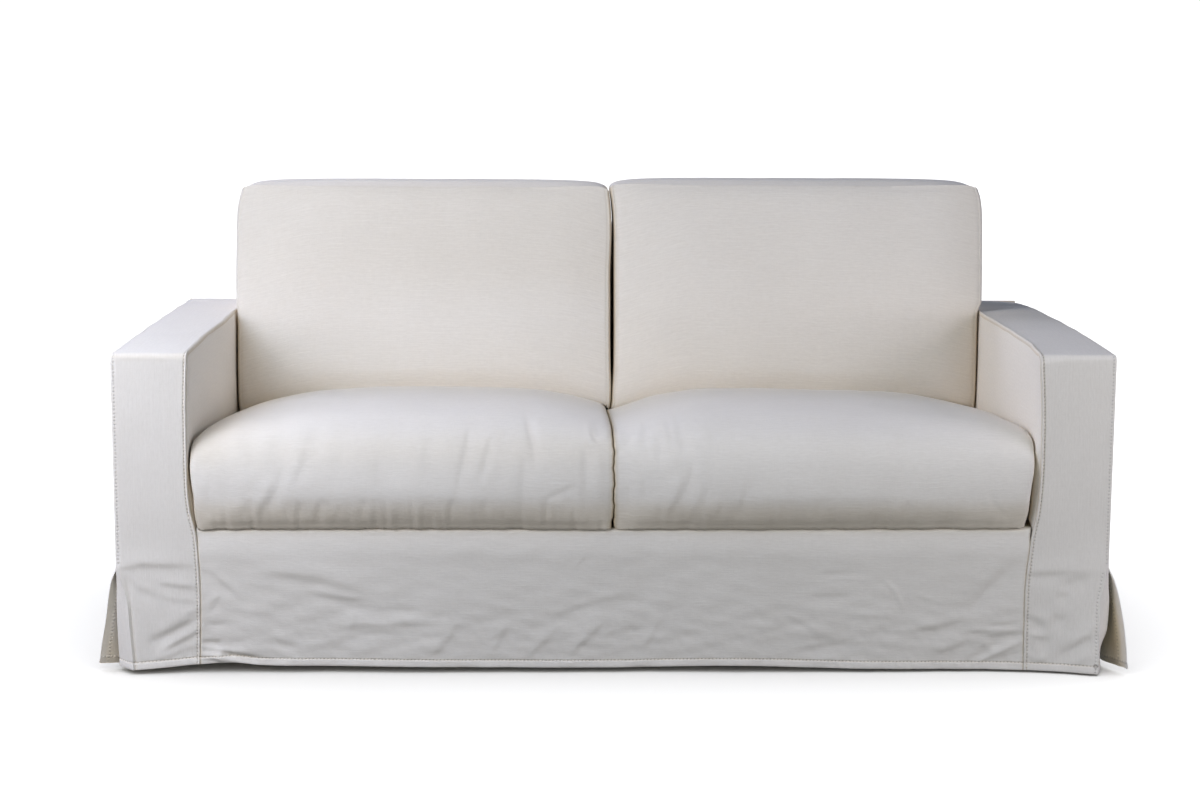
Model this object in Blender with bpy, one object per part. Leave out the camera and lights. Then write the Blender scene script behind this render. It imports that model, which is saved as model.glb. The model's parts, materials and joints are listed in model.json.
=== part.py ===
"""Sofa slipcover: a hollow fitted cover, open at the bottom, with four loose filled cushions.

Metres, +Z up, the sofa's front faces -Y. Sizes below are measured from the middle of the front
(x 0), the plane of the arms' fronts (y 0) and the floor (z 0). Every mesh is then shifted so that
the origin lies under the middle of the back's top, where the sofa frame carries the cover.
"""

import math

import bpy
import numpy as np

# ---------------------------------------------------------------- driving sizes, metres
CLOTH = 0.0025            # thickness of a panel with its turned-in allowances
SEAM = 0.0004             # gap between two panels that are sewn together
ARM_OUT = 0.952           # middle to the outer face of an arm
ARM_IN_L = 0.8100         # middle to the left arm's inner face
ARM_IN_R = 0.8150         # middle to the right arm's inner face
ARM_TOP = 0.619           # floor to the top of an arm
ARM_ROLL = 0.014          # radius of the arm's front top edge
DEPTH = 0.952             # arm front to the outside of the back
DECK_TOP = 0.284          # floor to the top of the seat deck
DECK_ROLL = 0.012         # radius of the deck's front edge
DECK_START = 0.060        # where the front panel's rolled top ends and the deck begins
BACK_TOP = 0.800          # floor to the top of the back
BACK_FACE_LOW = 0.836     # y of the inside back at the deck
BACK_FACE_HIGH = 0.846    # y of the inside back at its top
VENT_TOP = 0.208          # floor to the top of a corner vent
HEM_MEAN = 0.011          # usual height of the hem over the floor
FLAP_FADE = 0.033         # distance over which a vent flap runs back into its arm
CUSHION_REST = 0.0006     # gap under a seat cushion
CUSHION_GAP = 0.0040      # gap between a back cushion and the seat under it

ORIGIN = np.array([0.0, 0.898, BACK_TOP - CLOTH])   # under the middle of the back's top

# front hem line: x, height over the floor, y (how far it stands forward is negative)
HEM_COLUMNS = ("x", "z", "y")
HEM_ROWS = (
    (-0.921, 0.0095, -0.012),
    (-0.860, 0.0130, -0.006),
    (-0.796, 0.0174, 0.000),
    (-0.733, 0.0205, 0.001),
    (-0.674, 0.0153, 0.000),
    (-0.459, 0.0130, 0.000),
    (0.011, 0.0105, 0.000),
    (0.216, 0.0140, -0.001),
    (0.484, 0.0080, 0.000),
    (0.700, 0.0060, 0.000),
    (0.791, 0.0055, -0.004),
    (0.865, 0.0050, -0.016),
    (0.925, 0.0045, -0.034),
)

# seam between an arm's front and the front panel: height, distance from the middle left and right
SEAM_COLUMNS = ("z", "left", "right")
SEAM_ROWS = (
    (0.010, 0.7952, 0.7922),
    (0.150, 0.7921, 0.7913),
    (0.255, 0.7960, 0.7990),
    (0.279, 0.7993, 0.8030),
    (0.309, 0.8058, 0.8090),
    (0.330, 0.8085, 0.8125),
    (0.500, 0.8096, 0.8142),
)

# corner vents: height; for each side the fold line and the free edge of the arm front's turned hem,
# then the free edge of the arm side's flap
VENT_COLUMNS = ("z", "fold_x", "edge_x", "edge_y", "flap_x", "flap_y")
VENT_LEFT = (
    (0.0095, 0.9205, 0.9500, 0.0220, 0.9900, 0.0240),
    (0.0450, 0.9230, 0.9500, 0.0200, 0.9830, 0.0200),
    (0.0910, 0.9270, 0.9510, 0.0170, 0.9740, 0.0150),
    (0.1380, 0.9300, 0.9515, 0.0110, 0.9680, 0.0100),
    (0.1770, 0.9390, 0.9510, 0.0050, 0.9620, 0.0060),
    (0.2080, 0.9480, 0.9520, 0.0000, 0.9520, 0.0029),
)
VENT_RIGHT = (
    (0.0045, 0.9250, 0.9400, 0.0120, 0.9880, -0.0260),
    (0.0450, 0.9330, 0.9430, 0.0100, 0.9870, -0.0220),
    (0.0910, 0.9320, 0.9560, 0.0040, 0.9840, -0.0160),
    (0.1380, 0.9340, 0.9560, 0.0020, 0.9740, -0.0080),
    (0.1770, 0.9390, 0.9520, 0.0010, 0.9650, -0.0020),
    (0.2080, 0.9450, 0.9520, 0.0000, 0.9520, 0.0029),
)

# seat cushion outline from the side: in the middle of its width, then at its sewn ends: at the left
# arm, at the right arm and at the split between the two cushions
SEAT_COLUMNS = ("y_mid", "z_mid", "y_end", "z_left", "z_right", "z_split")
SEAT_ROWS = (
    (0.005, 0.2875, 0.006, 0.2875, 0.2875, 0.2875),
    (-0.006, 0.305, 0.001, 0.310, 0.310, 0.310),
    (-0.013, 0.345, -0.004, 0.350, 0.350, 0.350),
    (-0.013, 0.390, -0.003, 0.390, 0.385, 0.390),
    (-0.003, 0.428, 0.005, 0.422, 0.412, 0.422),
    (0.018, 0.455, 0.020, 0.438, 0.428, 0.440),
    (0.050, 0.473, 0.046, 0.448, 0.437, 0.449),
    (0.100, 0.483, 0.090, 0.450, 0.443, 0.452),
    (0.180, 0.487, 0.170, 0.449, 0.447, 0.451),
    (0.300, 0.486, 0.300, 0.442, 0.446, 0.443),
    (0.430, 0.476, 0.430, 0.432, 0.440, 0.431),
    (0.560, 0.461, 0.560, 0.422, 0.432, 0.418),
    (0.640, 0.4515, 0.640, 0.416, 0.427, 0.409),
    (0.720, 0.446, 0.720, 0.409, 0.420, 0.403),
    (0.785, 0.439, 0.782, 0.402, 0.412, 0.397),
    (0.810, 0.422, 0.804, 0.390, 0.395, 0.386),
    (0.816, 0.370, 0.809, 0.355, 0.355, 0.355),
    (0.811, 0.315, 0.806, 0.315, 0.315, 0.315),
    (0.802, 0.2875, 0.800, 0.2875, 0.2875, 0.2875),
    (0.560, 0.0, 0.560, 0.0, 0.0, 0.0),
    (0.250, 0.0, 0.250, 0.0, 0.0, 0.0),
)
SEAT_END_FADE = 0.11      # distance over which the crown falls towards a sewn end

# seat cushion ends: height, outer and inner end of the left one, inner and outer end of the right one
SEAT_END_COLUMNS = ("z", "left_out", "left_in", "right_in", "right_out")
SEAT_END_ROWS = (
    (0.285, -0.7960, -0.0060, -0.0035, 0.7950),
    (0.300, -0.8010, -0.0050, -0.0028, 0.7965),
    (0.340, -0.8030, -0.0042, -0.0022, 0.7985),
    (0.380, -0.8058, -0.0036, -0.0018, 0.8010),
    (0.430, -0.8068, -0.0040, -0.0018, 0.8020),
    (0.490, -0.8050, -0.0080, -0.0010, 0.7985),
)

# back cushion outline from the side: y, and height as a share of the way from bottom to top seam
BACK_COLUMNS = ("y", "share", "puff")
BACK_ROWS = (
    (0.664, 0.000, 0.0),
    (0.652, 0.030, 0.2),
    (0.650, 0.120, 0.6),
    (0.656, 0.280, 1.0),
    (0.667, 0.500, 1.0),
    (0.679, 0.720, 0.8),
    (0.690, 0.900, 0.4),
    (0.699, 0.985, 0.1),
    (0.706, 1.006, 0.0),
    (0.730, 1.022, 0.0),
    (0.775, 1.030, 0.0),
    (0.812, 1.018, 0.0),
    (0.829, 0.995, 0.0),
    (0.833, 0.920, 0.0),
    (0.831, 0.500, 0.0),
    (0.829, 0.120, 0.0),
    (0.826, 0.040, 0.0),
    (0.816, 0.000, 0.0),
    (0.770, 0.000, 0.0),
    (0.715, 0.000, 0.0),
)
BACK_SEAM_TOP = 0.893     # height of a back cushion's top seam
BACK_PUFF = 0.013         # how far the middle of its front stands out
BACK_CORNER = 0.020       # radius of its top corners
BACK_END_COLUMNS = ("z", "left_out", "left_in", "right_in", "right_out")
BACK_END_ROWS = (
    (0.400, -0.7990, 0.0030, 0.0070, 0.8090),
    (0.450, -0.8020, 0.0080, 0.0145, 0.8110),
    (0.550, -0.8040, 0.0078, 0.0148, 0.8120),
    (0.612, -0.8050, 0.0070, 0.0140, 0.8125),
    (0.640, -0.8060, 0.0070, 0.0140, 0.8128),
    (0.700, -0.8070, 0.0080, 0.0148, 0.8170),
    (0.750, -0.8060, 0.0090, 0.0150, 0.8190),
    (0.820, -0.8020, 0.0095, 0.0145, 0.8165),
    (0.870, -0.7960, 0.0040, 0.0100, 0.8120),
    (0.910, -0.7880, 0.0000, 0.0120, 0.8060),
)

# colour, roughness of each kind of cloth
CREAM = (0.80, 0.775, 0.735, 1.0)
CREAM_SEAT = (0.79, 0.770, 0.740, 1.0)
CREAM_HIDDEN = (0.74, 0.70, 0.64, 1.0)
CLOTH_ROUGHNESS = 0.85


# ---------------------------------------------------------------- helpers
def column(rows, columns, name):
    """One named column of a table, as an array."""
    return np.array([row[columns.index(name)] for row in rows], float)


def read(rows, columns, key, name, value):
    """A table read at a value of its key column, straight lines between its rows."""
    return float(np.interp(value, column(rows, columns, key), column(rows, columns, name)))


def material(name, colour):
    made = bpy.data.materials.new(name)
    made.use_nodes = True
    shader = next(n for n in made.node_tree.nodes if n.type == "BSDF_PRINCIPLED")
    shader.inputs["Base Color"].default_value = colour
    shader.inputs["Roughness"].default_value = CLOTH_ROUGHNESS
    shader.inputs["Metallic"].default_value = 0.0
    made.diffuse_color = colour
    return made


def signed_volume(points, faces):
    total = 0.0
    for face in faces:
        a = points[face[0]]
        for k in range(1, len(face) - 1):
            total += float(np.dot(a, np.cross(points[face[k]], points[face[k + 1]]))) / 6.0
    return total


def add_solid(name, points, faces, colour, smooth=True):
    """A named object from points and faces, shifted to the origin, its faces turned outward."""
    points = np.asarray(points, float) - ORIGIN
    if signed_volume(points, faces) < 0:
        faces = [tuple(reversed(face)) for face in faces]
    mesh = bpy.data.meshes.new(name)
    mesh.from_pydata([tuple(p) for p in points], [], faces)
    mesh.validate()
    if smooth:
        mesh.shade_smooth()
        mesh.set_sharp_from_angle(angle=math.radians(35))
    mesh.update()
    made = bpy.data.objects.new(name, mesh)
    made.data.materials.append(material(name + "_cloth", colour))
    bpy.context.scene.collection.objects.link(made)
    return made


def grid_normals(grid):
    down = np.gradient(grid, axis=0)
    across = np.gradient(grid, axis=1)
    normal = np.cross(across, down)
    length = np.linalg.norm(normal, axis=2, keepdims=True)
    return normal / np.maximum(length, 1e-12)


def sheet(name, grid, inward, colour, seam_inward=None):
    """A closed sheet CLOTH thick. grid holds its outer face, rows by columns by 3; inward is a rough
    direction to its inner face. seam_inward sets the exact one along the first and last columns."""
    grid = np.asarray(grid, float)
    rows, cols = grid.shape[:2]
    normal = grid_normals(grid)
    rough = np.broadcast_to(np.asarray(inward, float), normal.shape)
    flip = np.where((normal * rough).sum(axis=2, keepdims=True) < 0, -1.0, 1.0)
    normal = normal * flip
    if seam_inward is not None:
        for c, vectors in seam_inward.items():
            normal[:, c] = vectors
    inner = grid + normal * CLOTH
    points = np.concatenate([grid.reshape(-1, 3), inner.reshape(-1, 3)])
    n = rows * cols
    at = lambda r, c: r * cols + c
    faces = []
    for r in range(rows - 1):
        for c in range(cols - 1):
            a, b, d, e = at(r, c), at(r, c + 1), at(r + 1, c + 1), at(r + 1, c)
            faces.append((a, b, d, e))
            faces.append((n + e, n + d, n + b, n + a))
    for c in range(cols - 1):
        faces.append((at(0, c + 1), at(0, c), n + at(0, c), n + at(0, c + 1)))
        last = rows - 1
        faces.append((at(last, c), at(last, c + 1), n + at(last, c + 1), n + at(last, c)))
    for r in range(rows - 1):
        faces.append((at(r, 0), at(r + 1, 0), n + at(r + 1, 0), n + at(r, 0)))
        last = cols - 1
        faces.append((at(r + 1, last), at(r, last), n + at(r, last), n + at(r + 1, last)))
    return add_solid(name, points, faces, colour)


def block(name, low, high, colour):
    x0, y0, z0 = low
    x1, y1, z1 = high
    points = [(x, y, z) for x in (x0, x1) for y in (y0, y1) for z in (z0, z1)]
    faces = [(0, 1, 3, 2), (4, 6, 7, 5), (0, 4, 5, 1), (2, 3, 7, 6), (0, 2, 6, 4), (1, 5, 7, 3)]
    return add_solid(name, points, faces, colour, smooth=False)


def flat_panel(name, outline, axis, outer, inner, colour):
    """A flat panel: an outline in the two other axes, made solid between two values along one axis."""
    count = len(outline)
    points = [list(pair[:axis]) + [outer] + list(pair[axis:]) for pair in outline]
    points += [list(pair[:axis]) + [inner] + list(pair[axis:]) for pair in outline]
    faces = [tuple(range(count)), tuple(reversed(range(count, 2 * count)))]
    for i in range(count):
        j = (i + 1) % count
        faces.append((i, count + i, count + j, j))
    return add_solid(name, points, faces, colour, smooth=False)


def loft(name, rings, colour):
    """A closed solid through rings of equal count, each end closed by a fan."""
    rings = [np.asarray(ring, float) for ring in rings]
    count = len(rings[0])
    points = np.concatenate(rings + [rings[0].mean(axis=0)[None], rings[-1].mean(axis=0)[None]])
    first, last = len(points) - 2, len(points) - 1
    faces = []
    for i in range(len(rings) - 1):
        for k in range(count):
            j = (k + 1) % count
            faces.append((i * count + k, i * count + j, (i + 1) * count + j, (i + 1) * count + k))
    top = (len(rings) - 1) * count
    for k in range(count):
        j = (k + 1) % count
        faces.append((first, j, k))
        faces.append((last, top + k, top + j))
    return add_solid(name, points, faces, colour)


# ---------------------------------------------------------------- the front's shape
def seam_x(side, z):
    """x of the seam between arm front and front panel; side is -1 left, +1 right."""
    name = "left" if side < 0 else "right"
    return side * read(SEAM_ROWS, SEAM_COLUMNS, "z", name, z)


def hem_z(x):
    return read(HEM_ROWS, HEM_COLUMNS, "x", "z", x)


def front_y(x, z):
    """y of the cover's front below the cushions: it leaves the plane towards the hem, in soft waves."""
    fall = min(1.0, max(0.0, 1.0 - z / DECK_TOP))
    forward = read(HEM_ROWS, HEM_COLUMNS, "x", "y", x) * fall ** 1.4
    wave = 0.0018 * math.sin(9.0 * x + 1.0) + 0.0012 * math.sin(21.0 * x + 7.0 * z)
    return forward + wave * fall


def drop(z_nominal, x):
    """Stretches the lowest rows of a panel down to the uneven hem."""
    if z_nominal >= VENT_TOP:
        return z_nominal
    share = (VENT_TOP - z_nominal) / (VENT_TOP - HEM_MEAN)
    return VENT_TOP - share * (VENT_TOP - hem_z(x))


FRONT_HEIGHTS = (HEM_MEAN, 0.045, 0.091, 0.138, 0.177, VENT_TOP)


def front_border():
    heights = FRONT_HEIGHTS + (0.245, DECK_TOP - DECK_ROLL)
    shares = np.linspace(0.0, 1.0, 17)
    grid, ways = [], []
    for height in heights:
        left, right = seam_x(-1, height) + SEAM / 2, seam_x(1, height) - SEAM / 2
        grid.append([
            (left + s * (right - left), front_y(left + s * (right - left), height), drop(height, left + s * (right - left)))
            for s in shares
        ])
        ways.append((0.0, 1.0, 0.0))
    for angle in (30, 60, 90):
        a = math.radians(angle)
        y = DECK_ROLL * (1 - math.cos(a))
        z = DECK_TOP - DECK_ROLL * (1 - math.sin(a))
        left, right = seam_x(-1, z) + SEAM / 2, seam_x(1, z) - SEAM / 2
        grid.append([(left + s * (right - left), y, z) for s in shares])
        ways.append((0.0, math.cos(a), -math.sin(a)))
    left, right = -ARM_IN_L + SEAM, ARM_IN_R - SEAM
    grid.append([(left + s * (right - left), DECK_START - SEAM, DECK_TOP) for s in shares])
    ways.append((0.0, 0.0, -1.0))
    ways = np.array(ways)
    rough = ways[:, None, :].repeat(len(shares), axis=1)
    sheet("front_border", grid, rough, CREAM, {0: ways, len(shares) - 1: ways})


def vent(side, name, z):
    rows = VENT_LEFT if side < 0 else VENT_RIGHT
    return read(rows, VENT_COLUMNS, "z", name, z)


def arm_band(side):
    """Arm front from the hem up, over the rounded top edge and back along the arm's top."""
    heights = FRONT_HEIGHTS + (0.245, 0.279, 0.309, 0.330, 0.420, 0.510, ARM_TOP - ARM_ROLL)
    inner_shares = (0.0, 0.3, 0.6, 0.8)
    inside = ARM_IN_L if side < 0 else ARM_IN_R
    grid, ways = [], []
    for height in heights:
        seam = seam_x(side, height) + side * SEAM / 2
        if height < VENT_TOP:
            fold = side * vent(side, "fold_x", height)
            edge = side * vent(side, "edge_x", height)
            edge_y = vent(side, "edge_y", height)
        else:
            fold, edge, edge_y = side * 0.946, side * ARM_OUT, 0.0
        row = []
        for s in inner_shares:
            x = seam + s * (fold - seam)
            row.append((x, front_y(x, height), drop(height, x)))
        z_fold = drop(height, fold)
        row.append((fold, front_y(fold, height), z_fold))
        middle_y = 0.35 * edge_y + 0.65 * front_y(fold, height)
        row.append((0.45 * fold + 0.55 * edge, middle_y, z_fold))
        row.append((edge, edge_y, z_fold))
        grid.append(row)
        ways.append((0.0, 1.0, 0.0))
    shares = (0.0, 0.25, 0.5, 0.72, 0.86, 0.93, 1.0)
    seam = seam_x(side, ARM_TOP) + side * SEAM / 2
    for angle in (30, 60, 90):
        a = math.radians(angle)
        y = ARM_ROLL * (1 - math.cos(a))
        z = ARM_TOP - ARM_ROLL * (1 - math.sin(a))
        grid.append([(seam + s * (side * ARM_OUT - seam), y, z) for s in shares])
        ways.append((0.0, math.cos(a), -math.sin(a)))
    for y in (0.12, 0.34, 0.56, 0.78, DEPTH - CLOTH - SEAM):
        start = side * inside
        grid.append([
            (start + s * (side * ARM_OUT - start), y, ARM_TOP - 0.0008 * math.sin(math.pi * s) * math.sin(9 * y))
            for s in shares
        ])
        ways.append((0.0, 0.0, -1.0))
    ways = np.array(ways)
    rough = ways[:, None, :].repeat(len(shares), axis=1)
    name = "arm_band_L" if side < 0 else "arm_band_R"
    sheet(name, grid, rough, CREAM, {0: ways})


def outside_arm(side):
    """The arm's outer face with its hem; the lower front corner stands out as the vent's flap."""
    heights = FRONT_HEIGHTS + (0.262, 0.400) + ROLL_HEIGHTS
    front = CLOTH + SEAM
    distances = (0.0, 0.010, 0.024, 0.042, 0.066, 0.100, 0.160, 0.330, 0.560, 0.780, DEPTH - CLOTH - SEAM - front)
    grid = []
    for height in heights:
        stand = max(0.0, vent(side, "flap_x", height) - ARM_OUT) if height < VENT_TOP else 0.0
        shift = vent(side, "flap_y", height) - front if height < VENT_TOP else 0.0
        fall = max(0.0, 1.0 - height / 0.30)
        row = []
        for d in distances:
            fade = math.exp(-d / FLAP_FADE)
            y = front + d + shift * fade
            y = max(y, under_roll(height) + 0.5 * d) if height > VENT_TOP else y
            out = ARM_OUT + stand * fade + 0.003 * fall * math.sin(8.0 * y + 1.2 * side) * (1 - fade)
            z = height
            if height < VENT_TOP:
                low = HEM_MEAN + 0.0025 * math.sin(11.0 * y) + 0.002 * fade
                z = VENT_TOP - (VENT_TOP - height) / (VENT_TOP - HEM_MEAN) * (VENT_TOP - low)
            row.append((side * out, y, z))
        grid.append(row)
    name = "outside_arm_L" if side < 0 else "outside_arm_R"
    sheet(name, grid, (-side, 0.0, 0.0), CREAM)


def under_roll(z):
    """y of the front edge of a panel that is sewn in under the arm's rounded front edge."""
    centre = ARM_TOP - ARM_ROLL
    radius = ARM_ROLL - CLOTH - SEAM
    if z <= centre:
        return CLOTH + SEAM
    return ARM_ROLL - math.sqrt(max(0.0, radius**2 - (z - centre) ** 2))


ROLL_HEIGHTS = tuple(
    ARM_TOP - ARM_ROLL + (ARM_ROLL - CLOTH - SEAM) * math.sin(math.radians(a)) for a in (0, 30, 60, 90)
)


def inside_arm(side):
    inside = ARM_IN_L if side < 0 else ARM_IN_R
    low = DECK_TOP - CLOTH
    outline = [(BACK_FACE_LOW, low), (CLOTH + SEAM, low)] + [(under_roll(z), z) for z in ROLL_HEIGHTS]
    outline.append((BACK_FACE_LOW, ROLL_HEIGHTS[-1]))
    name = "inside_arm_L" if side < 0 else "inside_arm_R"
    flat_panel(name, outline, 0, side * inside, side * (inside + CLOTH), CREAM)


def back_face(z):
    """y of the inside back's front face."""
    share = (z - DECK_TOP) / (BACK_TOP - DECK_TOP)
    return BACK_FACE_LOW + share * (BACK_FACE_HIGH - BACK_FACE_LOW)


def inside_back():
    left, right = -ARM_IN_L + SEAM, ARM_IN_R - SEAM
    heights = (DECK_TOP - CLOTH, 0.45, 0.62, BACK_TOP)
    grid = [[(x, back_face(z), z) for x in (left, 0.0, right)] for z in heights]
    level = np.array([(0.0, 1.0, 0.0)] * len(heights))
    sheet("inside_back", grid, (0.0, 1.0, 0.0), CREAM_HIDDEN, {0: level, 1: level, 2: level})


def back_boxing():
    """Strip up the left side of the back, over its top and down the right side."""
    left, right = -ARM_IN_L + SEAM, ARM_IN_R - SEAM
    foot, roll = ARM_TOP - CLOTH, 0.012
    path = [(left, foot, 1, 0), (left, BACK_TOP - roll, 1, 0)]
    for angle in (45,):
        a = math.radians(angle)
        path.append((left + roll * (1 - math.cos(a)), BACK_TOP - roll * (1 - math.sin(a)), math.cos(a), -math.sin(a)))
    path += [(left + roll, BACK_TOP, 0, -1), (right - roll, BACK_TOP, 0, -1)]
    for angle in (45,):
        a = math.radians(angle)
        path.append((right - roll * (1 - math.cos(a)), BACK_TOP - roll * (1 - math.sin(a)), -math.cos(a), -math.sin(a)))
    path += [(right, BACK_TOP - roll, -1, 0), (right, foot, -1, 0)]
    rear = DEPTH - CLOTH - SEAM
    grid = [[(x, back_face(z) + CLOTH + SEAM, z), (x, rear, z)] for x, z, _, _ in path]
    ways = np.array([(wx, 0.0, wz) for _, _, wx, wz in path], float)
    rough = ways[:, None, :].repeat(2, axis=1)
    sheet("back_boxing", grid, rough, CREAM_HIDDEN, {0: ways, 1: ways})


def outside_back():
    """Flat panel over the arms' rear ends and the back, with a slightly uneven hem."""
    left, right = -ARM_IN_L + SEAM, ARM_IN_R - SEAM
    hem = [(x, HEM_MEAN + 0.002 * math.sin(7.0 * x)) for x in np.linspace(-ARM_OUT, ARM_OUT, 25)]
    outline = hem + [(ARM_OUT, ARM_TOP), (right, ARM_TOP), (right, BACK_TOP), (left, BACK_TOP), (left, ARM_TOP), (-ARM_OUT, ARM_TOP)]
    flat_panel("outside_back", outline, 1, DEPTH, DEPTH - CLOTH, CREAM_HIDDEN)


# ---------------------------------------------------------------- cushions
SECTION_SHARES = (0.0, 0.02, 0.06, 0.13, 0.24, 0.38, 0.50, 0.62, 0.76, 0.87, 0.94, 0.98, 1.0)


def ends(rows, columns, side, z):
    """Outer and inner end of a cushion at a height."""
    names = ("left_out", "left_in") if side < 0 else ("right_out", "right_in")
    return tuple(read(rows, columns, "z", name, z) for name in names)


def fallen(side, x, row):
    """One row of the seat outline at x: its y and z between the middle's and the two sewn ends'."""
    y_mid, z_mid, y_end, z_left, z_right, z_split = row
    at_arm = math.exp(-max(0.0, 0.806 - side * x) / SEAT_END_FADE)
    at_split = math.exp(-max(0.0, side * x - 0.004) / SEAT_END_FADE)
    z_arm = z_left if side < 0 else z_right
    y = y_mid + min(1.0, at_arm + at_split) * (y_end - y_mid)
    z = z_mid + at_arm * (z_arm - z_mid) + at_split * (z_split - z_mid)
    return y, z


def seat_ring(side, share):
    x_ref = side * (0.805 - share * 0.801)
    points = []
    for row in SEAT_ROWS:
        y, z = fallen(side, x_ref, row)
        if row[1] == 0.0:
            z = DECK_TOP + CUSHION_REST
        outer, inner = ends(SEAT_END_ROWS, SEAT_END_COLUMNS, side, z)
        points.append((outer + share * (inner - outer), y, z))
    return points


def seat_top(side, x, y):
    """Height of a seat cushion's top at x, y."""
    top = [fallen(side, x, row) for row in SEAT_ROWS if 0.05 <= row[0] <= 0.79 and row[1] > 0.40]
    return float(np.interp(y, [p[0] for p in top], [p[1] for p in top]))


def seat_cushion(side):
    rings = [seat_ring(side, share) for share in SECTION_SHARES]
    loft("seat_cushion_L" if side < 0 else "seat_cushion_R", rings, CREAM_SEAT)


def back_ring(side, share):
    edge = 0.80 * min(share, 1.0 - share)
    pull = math.exp(-edge / 0.05)
    round_off = BACK_CORNER - math.sqrt(max(0.0, BACK_CORNER**2 - max(0.0, BACK_CORNER - edge) ** 2))
    points = []
    for y, height, puff in BACK_ROWS:
        y = y - BACK_PUFF * puff * (1.0 - pull)
        x = side * (0.806 - share * 0.802)
        low = seat_top(side, x, min(y, 0.785)) + CUSHION_GAP
        high = BACK_SEAM_TOP - 0.7 * round_off
        z = low + height * (high - low)
        outer, inner = ends(BACK_END_ROWS, BACK_END_COLUMNS, side, z)
        points.append((outer + share * (inner - outer), y, z))
    return points


def back_cushion(side):
    rings = [back_ring(side, share) for share in SECTION_SHARES]
    loft("back_cushion_L" if side < 0 else "back_cushion_R", rings, CREAM)


# ---------------------------------------------------------------- build
def clear_scene():
    for existing in list(bpy.data.objects):
        bpy.data.objects.remove(existing, do_unlink=True)


def main():
    clear_scene()
    front_border()
    block("seat_deck", (-ARM_IN_L + SEAM, DECK_START, DECK_TOP - CLOTH), (ARM_IN_R - SEAM, BACK_FACE_LOW - 0.001, DECK_TOP), CREAM_HIDDEN)
    for side in (-1, 1):
        arm_band(side)
        inside_arm(side)
        outside_arm(side)
        seat_cushion(side)
        back_cushion(side)
    inside_back()
    back_boxing()
    outside_back()


main()
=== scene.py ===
import json
import math

import bpy
import numpy as np
from mathutils import Matrix, Vector
from mathutils.bvhtree import BVHTree

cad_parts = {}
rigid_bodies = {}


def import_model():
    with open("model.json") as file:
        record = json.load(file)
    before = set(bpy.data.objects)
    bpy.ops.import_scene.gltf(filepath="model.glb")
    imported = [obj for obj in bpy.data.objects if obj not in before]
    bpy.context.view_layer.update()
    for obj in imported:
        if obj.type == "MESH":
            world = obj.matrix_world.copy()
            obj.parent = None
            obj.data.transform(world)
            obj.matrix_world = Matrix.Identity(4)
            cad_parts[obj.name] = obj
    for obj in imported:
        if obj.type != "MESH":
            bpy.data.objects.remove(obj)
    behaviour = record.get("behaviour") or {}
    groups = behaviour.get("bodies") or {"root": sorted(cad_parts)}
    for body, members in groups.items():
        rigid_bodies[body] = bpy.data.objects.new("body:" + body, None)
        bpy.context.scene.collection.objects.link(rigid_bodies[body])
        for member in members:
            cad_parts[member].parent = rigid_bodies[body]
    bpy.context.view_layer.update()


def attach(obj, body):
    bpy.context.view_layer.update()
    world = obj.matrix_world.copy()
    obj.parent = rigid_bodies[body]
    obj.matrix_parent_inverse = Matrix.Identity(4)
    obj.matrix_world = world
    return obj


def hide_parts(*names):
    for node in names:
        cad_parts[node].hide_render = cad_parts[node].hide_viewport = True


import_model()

# The looks of a loose-fitted two-seat sofa cover with four filled cushions.
# Sizes are metres from the middle of the front (x 0), the arms' front plane (y 0) and the floor
# (z 0), as in the construction; every mesh is shifted by ORIGIN into the frame at the end.

# ------------------------------------------------------------------ sizes shared with the frame
CLOTH = 0.0025
SEAM = 0.0004
ARM_OUT = 0.952
ARM_IN_L = 0.8100
ARM_IN_R = 0.8150
ARM_TOP = 0.619
ARM_ROLL = 0.0105
DEPTH = 0.952
DECK_TOP = 0.284
DECK_ROLL = 0.012
DECK_START = 0.060
BACK_TOP = 0.800
BACK_FACE_LOW = 0.836
BACK_FACE_HIGH = 0.846
VENT_TOP = 0.208
HEM_MEAN = 0.011
FLAP_SLANT = {-1: 0.70, 1: 0.95}   # how far back a side's vent flap runs for each part that it stands out
CUSHION_REST = 0.0006
CUSHION_GAP = 0.0040
ORIGIN = np.array([0.0, 0.898, BACK_TOP - CLOTH])

HEM_ROWS = (  # x, z, y
    (-0.960, 0.0090, -0.016),
    (-0.921, 0.0095, -0.012),
    (-0.860, 0.0130, -0.006),
    (-0.796, 0.0174, 0.000),
    (-0.733, 0.0205, 0.001),
    (-0.674, 0.0153, 0.000),
    (-0.459, 0.0130, 0.000),
    (0.011, 0.0105, 0.000),
    (0.216, 0.0140, -0.001),
    (0.484, 0.0080, 0.000),
    (0.700, 0.0060, 0.000),
    (0.791, 0.0055, -0.004),
    (0.865, 0.0050, -0.016),
    (0.925, 0.0045, -0.034),
    (0.960, 0.0045, -0.040),
)
SEAM_ROWS = (  # z, left, right
    (0.000, 0.7954, 0.7921),
    (0.010, 0.7952, 0.7922),
    (0.150, 0.7921, 0.7913),
    (0.255, 0.7960, 0.7990),
    (0.279, 0.7993, 0.8025),
    (0.309, 0.8055, 0.8080),
    (0.335, 0.8090, 0.8104),
    (0.360, 0.8106, 0.8120),
    (0.408, 0.8112, 0.8132),
    (0.456, 0.8110, 0.8130),
    (0.504, 0.8108, 0.8119),
    (0.553, 0.8097, 0.8097),
    (0.600, 0.8076, 0.8066),
    (0.640, 0.8066, 0.8052),
)
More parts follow.
